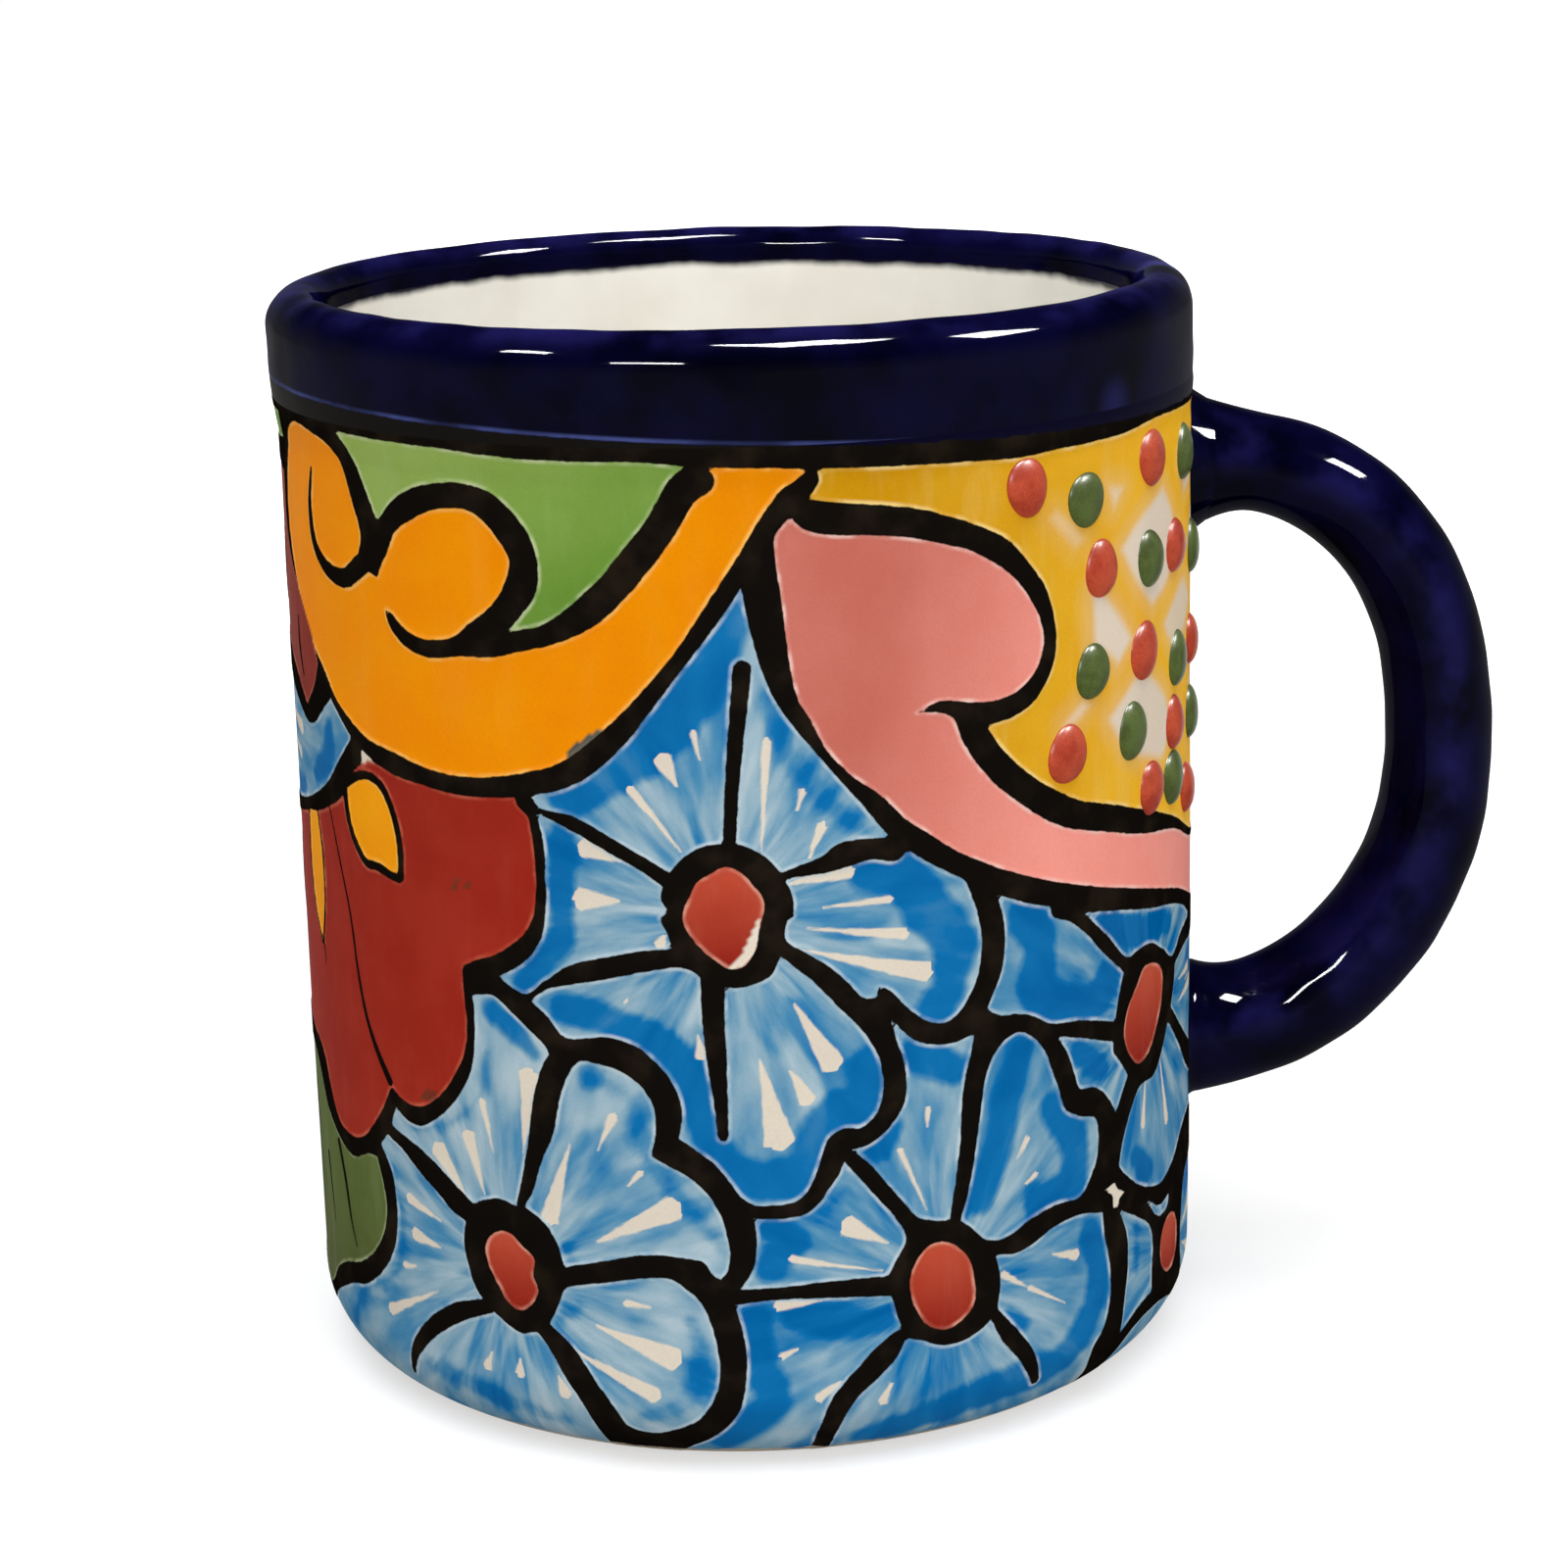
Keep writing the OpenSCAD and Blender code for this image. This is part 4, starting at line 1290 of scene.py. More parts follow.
set_values(rim, "inner_edge", "FLOAT", inner_edge)
# The lip's crest is painted bluer: partly a thinner coat, partly a painted sheen
crest_and_sheen = np.exp(-((CUP_H - rim_points[..., 2]) / CREST_FADE) ** 2)
set_values(rim, "thin", "FLOAT", crest_and_sheen)

# %% Lining
LINING_COLUMNS = 256
AXIS_GAP = 0.02


def bowl_profile(coat):
    """The lining's section from the cobalt's edge down the wall and over the floor to the axis."""
    wall_part = line((INNER_R - coat, BAND_INSIDE_Z), (INNER_R - coat, FLOOR_Z + BOWL_R), 40)
    corner = arc((INNER_R - BOWL_R, FLOOR_Z + BOWL_R), BOWL_R - coat, 0, -90, 14)
    floor_part = line((INNER_R - BOWL_R, FLOOR_Z + coat), (AXIS_GAP, FLOOR_Z + coat), 16)
    return np.concatenate([wall_part, corner[1:], floor_part[1:]])


bowl = np.concatenate([bowl_profile(GLAZE_T), bowl_profile(HIDDEN_COAT)[::-1]])
bowl_points = turned_points(bowl, LINING_COLUMNS)
bowl_faces = ring_faces(len(bowl), LINING_COLUMNS, closed_rows=True)[:, ::-1]
lining = new_piece("cream_lining", bowl_points.reshape(-1, 3), bowl_faces, "lining_glaze", "white_glaze")
set_values(lining, "inner_edge", "FLOAT", bowl_points[..., 2] - BAND_INSIDE_Z + COBALT_RUN)

# %% [markdown]
# ## Handle
# A handle is pulled: a lump of clay is stroked into a tapering strap, bent into a loop, and pressed on to
# the wall at both ends. The coat follows the same formula as the solid, with more sections. A small fillet
# of glaze pools where it meets the wall.

# %% Strap of the handle
HANDLE_RINGS = 150
HANDLE_SIDES = 56
FILLET_RINGS = 6
FILLET_R = 1.0
ROOT_SINK = 0.10
HIDDEN_SINK = 1.0
SLOW_LUMPS = 0.012
QUICK_LUMPS = 0.008


def curved(value, power):
    return np.sign(value) * np.abs(value) ** power


def strap(t):
    """Middle, outward direction and half sizes of the clay strap at t, from 0 above to 1 below."""
    turn = math.radians(90 - 180 * t)
    squareness = UPPER_SQUARENESS if t < 0.5 else LOWER_SQUARENESS
    half_span = UPPER_Z - BOW_Z if t < 0.5 else BOW_Z - LOWER_Z
    cos_t = max(math.cos(turn), 0)
    sin_t = math.sin(turn)
    x = ROOT_X + HANDLE_REACH * curved(cos_t, 2 / squareness)
    z = BOW_Z + half_span * curved(sin_t, 2 / squareness)
    power = 2 - 2 / squareness
    out = np.array([curved(cos_t, power) / HANDLE_REACH, curved(sin_t, power) / half_span])
    out = out / np.hypot(*out)
    flare = max(0, 1 - (x - ROOT_X) / FLARE_LEN) ** 2
    root_flare = UPPER_FLARE if t < 0.5 else LOWER_FLARE
    thick = (HANDLE_TOP_T * (1 - t) + HANDLE_LOW_T * t) / 2 + root_flare * flare
    wide = HANDLE_W / 2 + SIDE_FLARE * flare
    return x, z, out, thick, wide


side_turn = np.linspace(-np.pi / 2, 1.5 * np.pi, HANDLE_SIDES, endpoint=False)


def strap_ring(t, coat):
    """One oval section of the handle."""
    x, z, out, thick, wide = strap(t)
    lump = 1 + SLOW_LUMPS * np.sin(9 * t + 2 * side_turn) + QUICK_LUMPS * np.sin(23 * t - side_turn)
    over = (thick * lump + coat) * np.cos(side_turn)
    across = (wide * lump + coat) * np.sin(side_turn)
    ring = np.column_stack([x + out[0] * over, across, z + out[1] * over])
    away = ring - np.array([x, 0, z])
    return ring + away / np.linalg.norm(away, axis=1)[:, None] * ripple(ring)[:, None]


def root_rings(t, coat):
    """Sections that carry the handle's end on to the wall with a fillet."""
    ring = strap_ring(t, coat)
    middle = np.array([0, 0, UPPER_Z if t < 0.5 else LOWER_Z])
    rings = []
    for k in range(FILLET_RINGS):
        share = (k + 1) / FILLET_RINGS
        spread = ring.copy()
        swell = 1 + FILLET_R * (1 - math.sqrt(1 - share ** 2)) / (HANDLE_W / 2)
        spread[:, 1:] = middle[1:] + (ring[:, 1:] - middle[1:]) * swell
        seat = np.sqrt(CUP_R ** 2 - spread[:, 1] ** 2)
        gap = ring[:, 0] - np.sqrt(CUP_R ** 2 - ring[:, 1] ** 2)
        spread[:, 0] = seat + (1 - share) * gap - ROOT_SINK * share
        rings.append(spread)
    return rings


print("the middle of the handle reaches out to", round(strap(0.5)[0], 1), "mm")

# %% Handle
places = np.linspace(0, 1, HANDLE_RINGS)
shown_rings = [strap_ring(t, GLAZE_T) for t in places]
hidden_rings = [strap_ring(t, HIDDEN_COAT) for t in places[::-HIDDEN_STEP]]
hidden_rings[0][:, 0] -= HIDDEN_SINK
hidden_rings[-1][:, 0] -= HIDDEN_SINK
loops = np.array(root_rings(0, GLAZE_T)[::-1] + shown_rings + root_rings(1, GLAZE_T) + hidden_rings)
handle_faces = ring_faces(len(loops), HANDLE_SIDES, closed_rows=True)
handle = new_piece("cobalt_handle", loops.reshape(-1, 3), handle_faces, "handle_glaze", "cobalt_glaze")
for label in ("band", "inner_edge"):
    set_values(handle, label, "FLOAT", np.full(loops.shape[:2], FAR_OFF))

# Both flanks are painted bluer, in a band that leans outwards above and inwards below: partly a thinner coat,
# partly a painted sheen
BAND_LEAN = 0.45
BAND_SPREAD = 0.42
loop_places = np.clip((np.arange(len(loops)) - FILLET_RINGS) / (HANDLE_RINGS - 1), 0, 1)
off_band = np.cos(side_turn)[None, :] - BAND_LEAN * np.cos(np.pi * loop_places)[:, None]
set_values(handle, "thin", "FLOAT", np.exp(-(off_band / BAND_SPREAD) ** 2))

# %% [markdown]
# ## Raised dots
# Beside the handle, drops of thick coloured slip stand up from the yellow field. Each is pressed from a
# nozzle, so no two are quite alike: a random but fixed wobble changes each outline, and the crown of each
# drop sits a little low, where the slip has sagged.

# %% Raised dots
DOT_RINGS = 9
DOT_SIDES = 28
DOT_SINK = 0.8
DOT_SAG = 0.18
DOT_ROOT = -0.3
DOT_NARROW = 0.95
DOT_TALL = 1.07
DOT_OVAL = 0.035
DOT_CORNERS = 0.025
CROWN_POWER = 2.3
SIDE_POWER = 0.62
rng = np.random.default_rng(7)


def dot_points(angle_deg, z):
    """Points of one drop, on the wall at an angle and a height."""
    turn = np.linspace(0, 2 * np.pi, DOT_SIDES, endpoint=False)
    phase = rng.uniform(0, 2 * np.pi, 3)
    uneven = 1 + DOT_OVAL * np.sin(2 * turn + phase[0]) + DOT_CORNERS * np.sin(3 * turn + phase[1])
    size = DOT_D / 2 * rng.uniform(0.95, 1.03)
    rings = []
    for k in range(DOT_RINGS):
        share = math.sin(math.pi / 2 * (1 - k / DOT_RINGS))
        lift = DOT_SINK * DOT_H * (1 - share ** CROWN_POWER) ** SIDE_POWER
        along = share * size * uneven * np.cos(turn) * DOT_NARROW
        up = share * size * uneven * np.sin(turn) * DOT_TALL - DOT_SAG * (1 - share)
        rings.append((along, up, np.full(DOT_SIDES, lift)))
    rings.append((np.zeros(1), np.full(1, -DOT_SAG), np.full(1, DOT_SINK * DOT_H)))
    base = (rings[0][0], rings[0][1], np.full(DOT_SIDES, DOT_ROOT))
    parts = [base] + rings + [(np.zeros(1), np.zeros(1), np.full(1, DOT_ROOT))]
    along, up, lift = (np.concatenate([part[i] for part in parts]) for i in range(3))
    theta = math.radians(angle_deg) + along / CUP_R
    out = outside_radius(z + up, GLAZE_T) + drift(theta, z + up) + lift
    return np.column_stack([out * np.cos(theta), out * np.sin(theta), z + up])


def dot_faces(first):
    faces = [tuple(q) for q in ring_faces(DOT_RINGS + 1, DOT_SIDES, first)]
    top = first + (DOT_RINGS + 1) * DOT_SIDES
    last = top - DOT_SIDES
    for k in range(DOT_SIDES):
        after = (k + 1) % DOT_SIDES
        faces.append((last + k, last + after, top))
        faces.append((first + after, first + k, top + 1))
    return faces


def drops(places):
    points = []
    faces = []
    for side in (-1, 1):
        for column_place, row_place in places:
            z = BAND_Z - DOT_DROP - DOT_PITCH * row_place - DOT_FALL * (DOT_LAST_COLUMN - column_place)
            faces += dot_faces(sum(map(len, points)))
            points.append(dot_points(side * (DOT_ANGLE + DOT_STEP * column_place), z))
    return np.concatenate(points), faces


red_dots = new_piece("red_drops", *drops(RED_DOT_PLACES), "red_dots", "red_slip")
green_dots = new_piece("green_drops", *drops(GREEN_DOT_PLACES), "green_dots", "green_slip")

# %% [markdown]
# ## Shared effects
# Three effects serve several materials, so each is a node group. Ragged edge turns a distance into a mask
# whose border wavers as a brush's does. Mottle is the slow change of tone in a fired wash. Glaze skin is
# the faint waviness and the pinholes of a fired glaze.

# %% Node group helpers
def new_group(name, inputs, outputs):
    group = bpy.data.node_groups.new(name, "ShaderNodeTree")
    for label, value in inputs.items():
        socket = group.interface.new_socket(label, in_out="INPUT", socket_type="NodeSocketFloat")
        socket.default_value = value
    for label in outputs:
        group.interface.new_socket(label, in_out="OUTPUT", socket_type="NodeSocketFloat")
    return group, group.nodes.new("NodeGroupInput"), group.nodes.new("NodeGroupOutput")


def object_place(tree):
    return add_node(tree, "ShaderNodeTexCoord").outputs["Object"]


def noise(tree, vector, scale, detail=2.0, roughness=0.5):
    inputs = {"Vector": vector, "Scale": scale, "Detail": detail, "Roughness": roughness}
    return add_node(tree, "ShaderNodeTexNoise", inputs).outputs["Fac"]


def ranged(tree, value, low, high, to_low=0.0, to_high=1.0, smooth=True):
    inputs = {"Value": value, "From Min": low, "From Max": high, "To Min": to_low, "To Max": to_high}
    kind = "SMOOTHSTEP" if smooth else "LINEAR"
    return add_node(tree, "ShaderNodeMapRange", inputs, interpolation_type=kind, clamp=True).outputs[0]


def mixed(tree, share, first, second, blend="MIX"):
    made = add_node(tree, "ShaderNodeMix", data_type="RGBA", blend_type=blend)
    for key, value in ((0, share), (6, first), (7, second)):
        if isinstance(value, bpy.types.NodeSocket):
            tree.links.new(value, made.inputs[key])
        elif key == 0:
            made.inputs[key].default_value = value
        else:
            made.inputs[key].default_value = (*value[:3], 1)
    return made.outputs[2]


def stored(tree, name):
    return add_node(tree, "ShaderNodeAttribute", attribute_name=name)


print("node groups so far:", len(bpy.data.node_groups))

# %% Ragged edge, mottle and glaze skin
EDGE_INPUTS = {"Distance": 0, "Waver": 0.2, "Soft": 0.08, "Scale": 900}
ragged_edge, ragged_in, ragged_out = new_group("ragged_edge", EDGE_INPUTS, ["Mask"])
coarse = noise(ragged_edge, object_place(ragged_edge), ragged_in.outputs["Scale"], 3.0, 0.6)
swing = math_node(ragged_edge, "SUBTRACT", coarse, 0.5)
pushed = math_node(ragged_edge, "MULTIPLY", swing, ragged_in.outputs["Waver"])
moved = math_node(ragged_edge, "ADD", pushed, ragged_in.outputs["Distance"])
under = math_node(ragged_edge, "MULTIPLY", ragged_in.outputs["Soft"], -1.0)
ragged_edge.links.new(ranged(ragged_edge, moved, under, ragged_in.outputs["Soft"]), ragged_out.inputs["Mask"])

mottle, mottle_in, mottle_out = new_group("mottle", {"Size": 120}, ["Slow", "Grain"])
slow_noise = noise(mottle, object_place(mottle), mottle_in.outputs["Size"], 4.0, 0.55)
mottle.links.new(ranged(mottle, slow_noise, 0.32, 0.68), mottle_out.inputs["Slow"])
grain_noise = noise(mottle, object_place(mottle), 5200, 2.0, 0.7)
mottle.links.new(grain_noise, mottle_out.inputs["Grain"])

glaze_skin, skin_in, skin_out = new_group("glaze_skin", {"Wave": 0.5, "Pits": 0.5}, ["Height", "Pit"])
swell = noise(glaze_skin, object_place(glaze_skin), 130, 2.0)
wave = math_node(glaze_skin, "MULTIPLY", swell, skin_in.outputs["Wave"])
pores = add_node(glaze_skin, "ShaderNodeTexVoronoi", {"Vector": object_place(glaze_skin), "Scale": 260})
chosen = add_node(glaze_skin, "ShaderNodeSeparateColor", {0: pores.outputs["Color"]}).outputs[0]
rare = ranged(glaze_skin, chosen, 0.90, 0.92)
hole = math_node(glaze_skin, "MULTIPLY", ranged(glaze_skin, pores.outputs["Distance"], 0.10, 0.03), rare)
pit = math_node(glaze_skin, "MULTIPLY", hole, skin_in.outputs["Pits"])
glaze_skin.links.new(math_node(glaze_skin, "SUBTRACT", wave, pit), skin_out.inputs["Height"])
glaze_skin.links.new(pit, skin_out.inputs["Pit"])
print("node groups:", [group.name for group in bpy.data.node_groups])

# %% Material helpers
def new_material(name, roughness, specular):
    material = bpy.data.materials.new(name)
    material.use_nodes = True
    principled = material.node_tree.nodes["Principled BSDF"]
    principled.inputs["Roughness"].default_value = roughness
    principled.inputs["Specular IOR Level"].default_value = specular
    return material, material.node_tree, principled


def use_group(tree, group, **inputs):
    made = add_node(tree, "ShaderNodeGroup", node_tree=group)
    for name, value in inputs.items():
        if isinstance(value, bpy.types.NodeSocket):
            tree.links.new(value, made.inputs[name])
        else:
            made.inputs[name].default_value = value
    return made


def add_bump(tree, principled, height_socket, distance_mm, strength=1.0):
    inputs = {"Height": height_socket, "Distance": distance_mm * MM, "Strength": strength}
    bump = add_node(tree, "ShaderNodeBump", inputs)
    tree.links.new(bump.outputs[0], principled.inputs["Normal"])


def grey(tree, value):
    """A value as a colour without hue."""
    return add_node(tree, "ShaderNodeCombineColor", {0: value, 1: value, 2: value}).outputs[0]


def weighted(tree, base, *terms):
    """A base plus, for each (value, middle, weight), the weighted distance of the value from its middle."""
    total = base
    for value, middle, weight in terms:
        off = math_node(tree, "SUBTRACT", value, middle)
        total = math_node(tree, "ADD", math_node(tree, "MULTIPLY", off, weight), total)
    return total


def dress(piece, material):
    piece.data.materials.clear()
    piece.data.materials.append(material)


print("materials so far:", len(bpy.data.materials))

# %% [markdown]
# ## Painted glaze
# The wall's material reads the stored values in the order in which the painter worked: a wash with slow
# changes of tone, blue brush marks that fan out from each flower, bare wedges, a pale halo where the wash
# shies away from the outline, then the ink. The ink stays matte, and the wash has a thin gloss.

# %% Painted glaze
INK = tone(17, 14, 11)
CREAM = tone(229, 215, 194)
COBALT = tone(5, 4, 30)
CREAM_LIGHT = tone(238, 236, 228)
WEDGE_COVER = 0.92
LATTICE_COVER = 0.95
WASH_COAT = 0.042
BLUE_STEPS = [
    (0.0, tone(173, 194, 204)),
    (0.25, tone(134, 169, 188)),
    (0.5, tone(76, 139, 178)),
    (0.75, tone(14, 111, 173)),
    (1.0, tone(0, 96, 160)),
]

painted, tree, skin = new_material("painted_glaze", 0.5, 0.0)
skin.inputs["Coat Roughness"].default_value = 0.07
soft = use_group(tree, mottle, Size=130)
wash_value = stored(tree, "wash")
pale_tone = stored(tree, "pale").outputs["Color"]
deeper = add_node(tree, "ShaderNodeGamma", {"Color": wash_value.outputs["Color"], "Gamma": 1.09}).outputs[0]
body = mixed(tree, soft.outputs["Slow"], wash_value.outputs["Color"], deeper)
drawn_down = add_node(tree, "ShaderNodeMapping", {"Vector": object_place(tree), "Scale": (1, 1, 0.22)})
strokes = ranged(tree, noise(tree, drawn_down.outputs[0], 330, 3.0, 0.6), 0.48, 0.72)
body = mixed(tree, math_node(tree, "MULTIPLY", strokes, wash_value.outputs["Alpha"]), body, pale_tone)
print("wash:", len(tree.nodes), "nodes")

# %% Blue brush marks
spoke_place = stored(tree, "spoke").outputs["Vector"]
petal_value = stored(tree, "petal").outputs["Fac"]
deep_value = stored(tree, "deep").outputs["Fac"]
tint_value = stored(tree, "tint").outputs["Fac"]
streaks = noise(tree, spoke_place, 2.6, 2.0, 0.42)
fine_streaks = noise(tree, spoke_place, 9.0, 2.0, 0.6)
dab_inputs = {"Vector": spoke_place, "Scale": 1.9, "Smoothness": 0.35}
dabs = add_node(tree, "ShaderNodeTexVoronoi", dab_inputs, feature="SMOOTH_F1")
dab_tone = add_node(tree, "ShaderNodeSeparateColor", {0: dabs.outputs["Color"]}).outputs[0]
blotch = noise(tree, object_place(tree), 290, 2.0, 0.4)
brush_marks = [(streaks, 0.5, 0.98), (fine_streaks, 0.5, 0.16), (dab_tone, 0.5, 0.36), (blotch, 0.5, 0.14)]
brush = weighted(tree, tint_value, *brush_marks)
frayed = weighted(tree, deep_value, (streaks, 0.5, 0.7), (fine_streaks, 0.5, 0.10), (blotch, 0.5, 0.26))
deep_mask = ranged(tree, frayed, 0.22, 0.78)
calm = ranged(tree, deep_mask, 0.0, 1.0, 1.0, 0.55, smooth=False)
load = weighted(tree, math_node(tree, "MULTIPLY", brush, calm), (deep_mask, -0.70, 0.47))

blue = add_node(tree, "ShaderNodeValToRGB", {"Fac": math_node(tree, "ADD", load, 0.0, clamp=True)})
while len(blue.color_ramp.elements) < len(BLUE_STEPS):
    blue.color_ramp.elements.new(1.0)
for stop, (place, colour) in zip(blue.color_ramp.elements, BLUE_STEPS):
    stop.position = place
    stop.color = (*colour, 1)
body = mixed(tree, petal_value, body, blue.outputs["Color"])
off_wedge = math_node(tree, "ABSOLUTE", stored(tree, "wedge").outputs["Fac"])
wedge_depth = math_node(tree, "SUBTRACT", stored(tree, "wedge_half").outputs["Fac"], off_wedge)
wedge_frayed = weighted(tree, wedge_depth, (noise(tree, spoke_place, 12.0, 2.0), 0.5, 0.45))
wedge_mask = math_node(tree, "MULTIPLY", ranged(tree, wedge_frayed, -0.14, 0.16), petal_value)
body = mixed(tree, math_node(tree, "MULTIPLY", wedge_mask, WEDGE_COVER), body, CREAM)

lattice_value = stored(tree, "lattice").outputs["Fac"]
diamonds = math_node(tree, "MULTIPLY", lattice_value, LATTICE_COVER)
body = mixed(tree, diamonds, body, tone(229, 217, 202))
print("with brush marks:", len(tree.nodes), "nodes")

# %% Thin edges, ink and gloss
depth_value = stored(tree, "paint").outputs["Fac"]
near_ink = ranged(tree, depth_value, 0.10, 0.48, 1.0, 0.0)
patchy = ranged(tree, noise(tree, object_place(tree), 420, 3.0), 0.36, 0.66, 0.10, 0.80)
body = mixed(tree, math_node(tree, "MULTIPLY", near_ink, patchy), body, pale_tone)
grain_tone = ranged(tree, soft.outputs["Grain"], 0.2, 0.8, 0.93, 1.06, smooth=False)
body = mixed(tree, 1.0, body, grey(tree, grain_tone), "MULTIPLY")

worn_ink = ranged(tree, noise(tree, object_place(tree), 240, 3.0), 0.45, 0.75)
ink_tone = mixed(tree, worn_ink, INK, tone(34, 27, 20))
painted_mask = use_group(tree, ragged_edge, Distance=depth_value, Waver=0.30, Soft=0.07).outputs["Mask"]
off_vein = math_node(tree, "ABSOLUTE", stored(tree, "vein").outputs["Fac"])
vein_depth = math_node(tree, "SUBTRACT", stored(tree, "vein_half").outputs["Fac"], off_vein)
vein_mask = use_group(tree, ragged_edge, Distance=vein_depth, Waver=0.16, Soft=0.07).outputs["Mask"]
painted_mask = math_node(tree, "MULTIPLY", painted_mask, math_node(tree, "SUBTRACT", 1.0, vein_mask))
surface = mixed(tree, painted_mask, ink_tone, body)

band_value = stored(tree, "band").outputs["Fac"]
band_mask = use_group(tree, ragged_edge, Distance=band_value, Waver=0.8, Soft=0.12).outputs["Mask"]
surface = mixed(tree, band_mask, surface, COBALT)
foot_value = stored(tree, "foot").outputs["Fac"]
worn = use_group(tree, ragged_edge, Distance=foot_value, Waver=2.6, Soft=0.25, Scale=300)
surface = mixed(tree, worn.outputs["Mask"], tone(206, 190, 166), surface)
tree.links.new(surface, skin.inputs["Base Color"])

gloss = math_node(tree, "MAXIMUM", painted_mask, band_mask)
tree.links.new(math_node(tree, "MULTIPLY", gloss, WASH_COAT), skin.inputs["Coat Weight"])
film = use_group(tree, glaze_skin, Wave=0.5, Pits=0.4)
ink_grain = math_node(tree, "MULTIPLY", math_node(tree, "SUBTRACT", 1.0, painted_mask), soft.outputs["Grain"])
rise = math_node(tree, "ADD", film.outputs["Height"], math_node(tree, "MULTIPLY", ink_grain, 0.10))
add_bump(tree, skin, rise, 0.10)
dress(front_wall, painted)
dress(back_wall, painted)
print("painted glaze:", len(tree.nodes), "nodes")

# %% [markdown]
# ## Cobalt glaze
# Cobalt in a thick glaze is almost black, and turns blue where the coat is thin. Its colour is painted bluer
# over the crest of the lip and along the flanks of the handle, partly for a thinner coat and partly as a
# painted sheen, and in small milky spots. Along the lower edge of the rim a pale line is painted, partly the
# thin edge of the coat and partly a painted highlight. Tiny pits break its gloss.

# %% Cobalt glaze
INNER_EDGE = {"Waver": 1.3, "Soft": 0.5, "Scale": 130}
COBALT_COAT = 0.05

cobalt, tree, skin = new_material("cobalt_glaze", 0.3, 0.0)
skin.inputs["Coat Weight"].default_value = COBALT_COAT
skin.inputs["Coat Roughness"].default_value = 0.05
soft = use_group(tree, mottle, Size=90)
deep_tone = mixed(tree, soft.outputs["Slow"], tone(1, 1, 11), tone(6, 5, 38))
# Painted bluer over the lip's crest and the handle's flanks: partly a thinner coat, partly a painted sheen
thin_coat = ranged(tree, noise(tree, object_place(tree), 160, 3.0), 0.35, 0.7)
thin_and_sheen_mask = math_node(tree, "MULTIPLY", stored(tree, "thin").outputs["Fac"], thin_coat)
deep_tone = mixed(tree, math_node(tree, "MULTIPLY", thin_and_sheen_mask, 0.6), deep_tone, tone(30, 27, 86))
spots = add_node(tree, "ShaderNodeTexVoronoi", {"Vector": object_place(tree), "Scale": 75})
spot_pick = add_node(tree, "ShaderNodeSeparateColor", {0: spots.outputs["Color"]}).outputs[1]
spot_round = ranged(tree, spots.outputs["Distance"], 0.30, 0.02)
spot = math_node(tree, "MULTIPLY", spot_round, ranged(tree, spot_pick, 0.82, 0.9))
deep_tone = mixed(tree, math_node(tree, "MULTIPLY", spot, 0.5), deep_tone, tone(60, 60, 140))

edge_value = stored(tree, "band").outputs["Fac"]
# A pale line just above the cobalt's lower edge: partly the coat's thin edge, partly a painted highlight
past_edge = ranged(tree, edge_value, -0.10, 0.14)
pale_edge_and_highlight = math_node(tree, "MULTIPLY", past_edge, ranged(tree, edge_value, 0.55, 0.18))
pale_noise = ranged(tree, noise(tree, object_place(tree), 120, 3.0), 0.30, 0.70, 0.15, 0.85)
deep_tone = mixed(tree, math_node(tree, "MULTIPLY", pale_edge_and_highlight, pale_noise), deep_tone, tone(70, 80, 140))
line_mask = use_group(tree, ragged_edge, Distance=edge_value, Waver=0.5, Soft=0.10).outputs["Mask"]
surface = mixed(tree, line_mask, INK, deep_tone)
bleed = use_group(tree, ragged_edge, Distance=stored(tree, "inner_edge").outputs["Fac"], **INNER_EDGE)
surface = mixed(tree, bleed.outputs["Mask"], CREAM_LIGHT, surface)
tree.links.new(surface, skin.inputs["Base Color"])
film = use_group(tree, glaze_skin, Wave=1.0, Pits=1.0)
add_bump(tree, skin, film.outputs["Height"], 0.16)
dress(rim, cobalt)
dress(handle, cobalt)
print("cobalt glaze:", len(tree.nodes), "nodes")

# %% [markdown]
# ## Cream lining, slips and clay
# The lining is a warm white glaze with faint grey-brown clouds, and the cobalt bleeds into its upper edge.
# The drops are satin slip with a fine grain. The clay shows only at the foot, where the glaze was wiped
# away so that the mug would not stick to the kiln shelf.

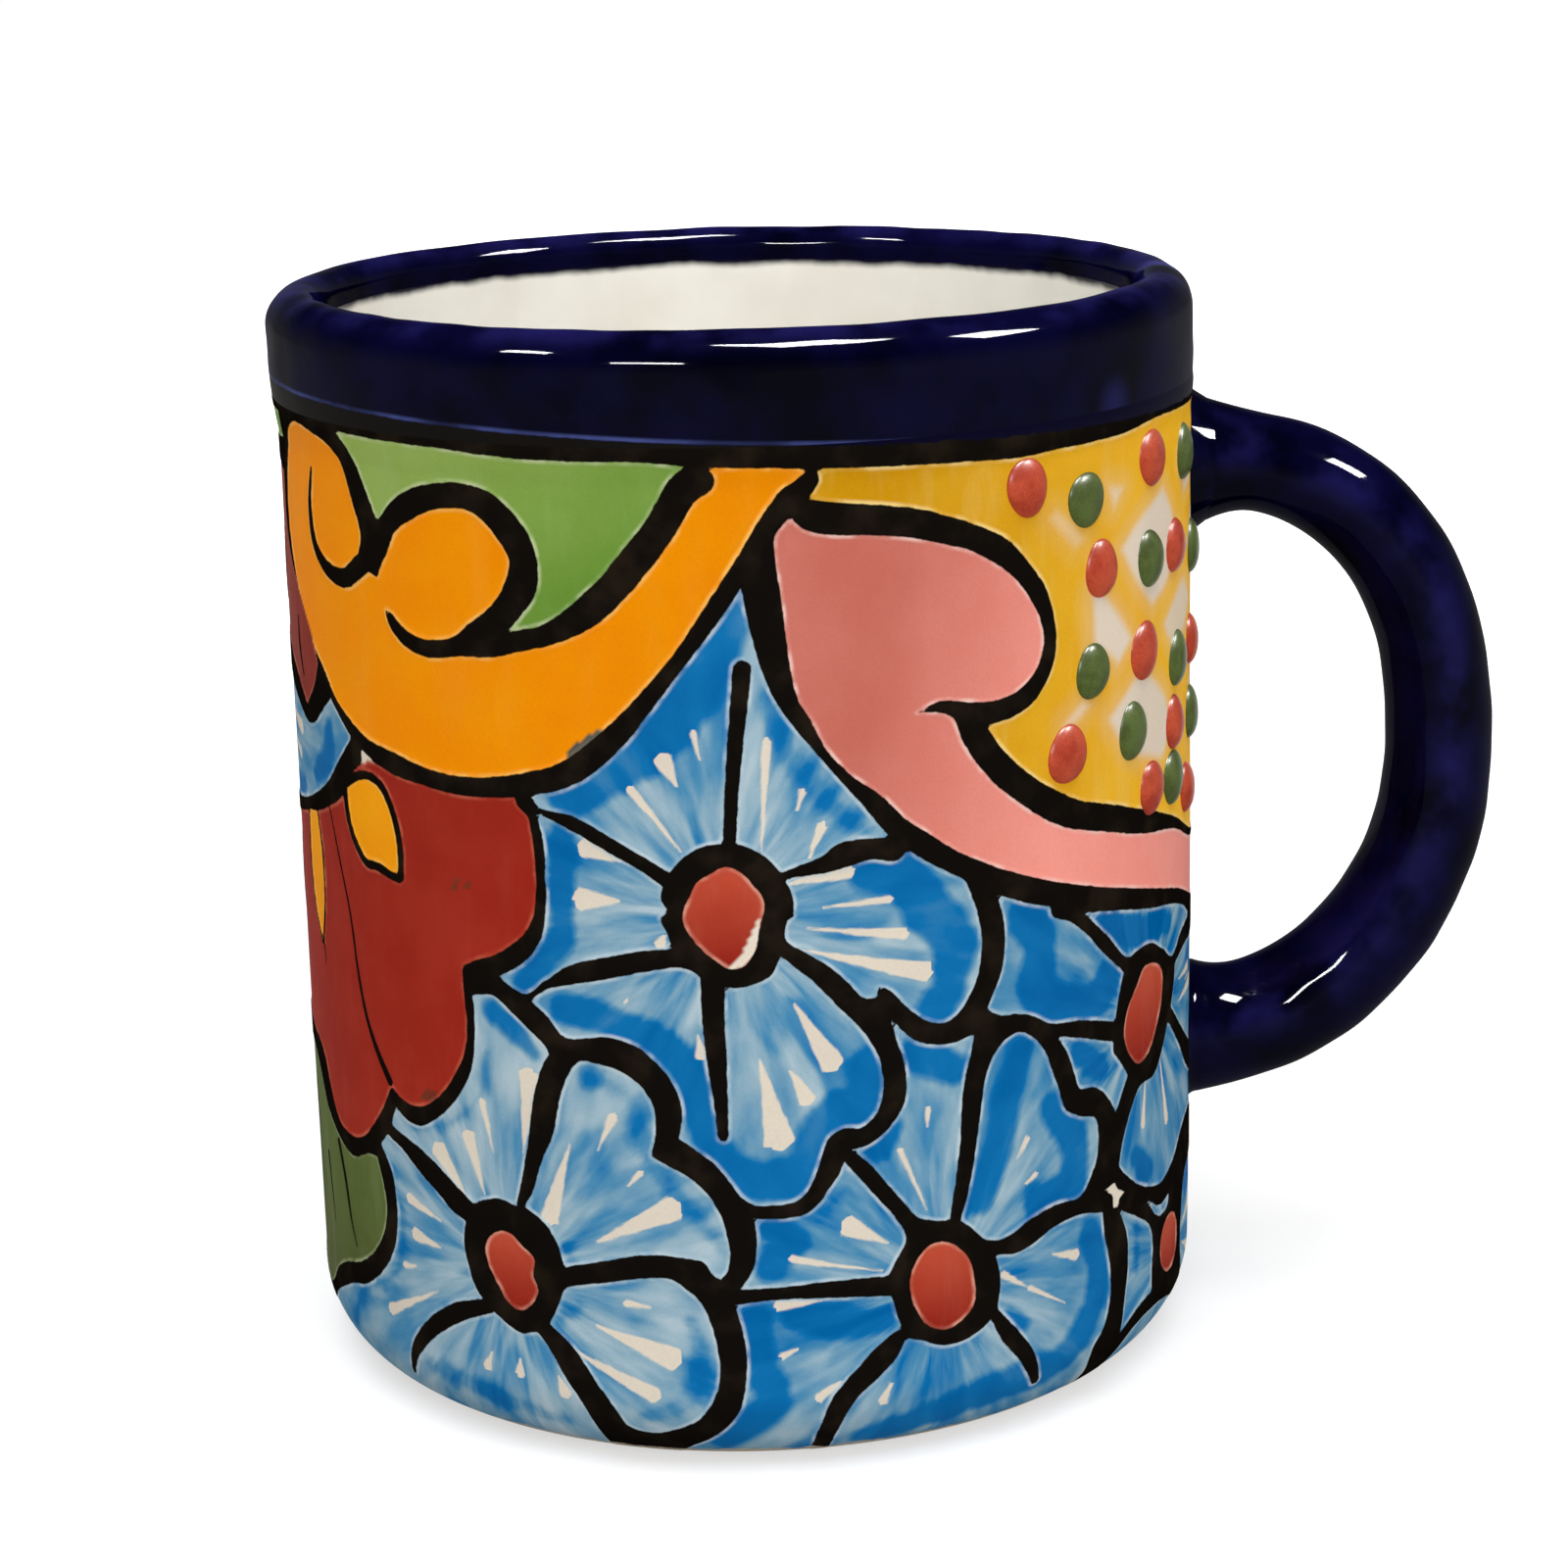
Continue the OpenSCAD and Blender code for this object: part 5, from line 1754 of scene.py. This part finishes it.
# %% Cream lining
cream_glaze, tree, skin = new_material("cream_glaze", 0.08, 0.10)
soft = use_group(tree, mottle, Size=70)
clouds = mixed(tree, math_node(tree, "MULTIPLY", soft.outputs["Slow"], 0.6), CREAM_LIGHT, tone(224, 219, 209))
bleed = use_group(tree, ragged_edge, Distance=stored(tree, "inner_edge").outputs["Fac"], **INNER_EDGE)
clouds = mixed(tree, bleed.outputs["Mask"], clouds, COBALT)
tree.links.new(clouds, skin.inputs["Base Color"])
film = use_group(tree, glaze_skin, Wave=1.0, Pits=0.7)
add_bump(tree, skin, film.outputs["Height"], 0.25)
dress(lining, cream_glaze)
print("cream lining:", len(tree.nodes), "nodes")

# %% Slip drops
def slip_material(name, light, dark):
    material, tree, skin = new_material(name, 0.34, 0.05)
    soft = use_group(tree, mottle, Size=420)
    body = mixed(tree, soft.outputs["Slow"], light, dark)
    grain_tone = ranged(tree, soft.outputs["Grain"], 0.25, 0.75, 0.74, 1.18, smooth=False)
    body = mixed(tree, 1.0, body, grey(tree, grain_tone), "MULTIPLY")
    tree.links.new(body, skin.inputs["Base Color"])
    film = use_group(tree, glaze_skin, Wave=0.6, Pits=0.3)
    add_bump(tree, skin, film.outputs["Height"], 0.12)
    return material


dress(red_dots, slip_material("red_slip", tone(190, 78, 50), tone(164, 56, 36)))
dress(green_dots, slip_material("green_slip", tone(86, 102, 50), tone(68, 80, 36)))
print("slips: red and green")

# %% Clay and luting slip
def clay_material(name, light, dark, rough):
    material, tree, skin = new_material(name, rough, 0.25)
    soft = use_group(tree, mottle, Size=160)
    body = mixed(tree, soft.outputs["Slow"], light, dark)
    specks = ranged(tree, noise(tree, object_place(tree), 2600, 2.0, 0.7), 0.60, 0.72)
    body = mixed(tree, math_node(tree, "MULTIPLY", specks, 0.35), body, tone(92, 58, 36))
    tree.links.new(body, skin.inputs["Base Color"])
    add_bump(tree, skin, noise(tree, object_place(tree), 1800, 4.0, 0.6), 0.12)
    return material


clay = clay_material("bare_clay", tone(206, 178, 144), tone(184, 150, 114), 0.75)
luting = clay_material("luting_slip", tone(168, 116, 80), tone(150, 98, 66), 0.8)
for node_name in ("cup_body", "handle"):
    dress(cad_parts[node_name], clay)
for node_name in ("upper_slip", "lower_slip"):
    dress(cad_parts[node_name], luting)
print("materials:", sorted(material.name for material in bpy.data.materials))

# %% View settings and sizes
bpy.context.scene.view_settings.view_transform = "Standard"
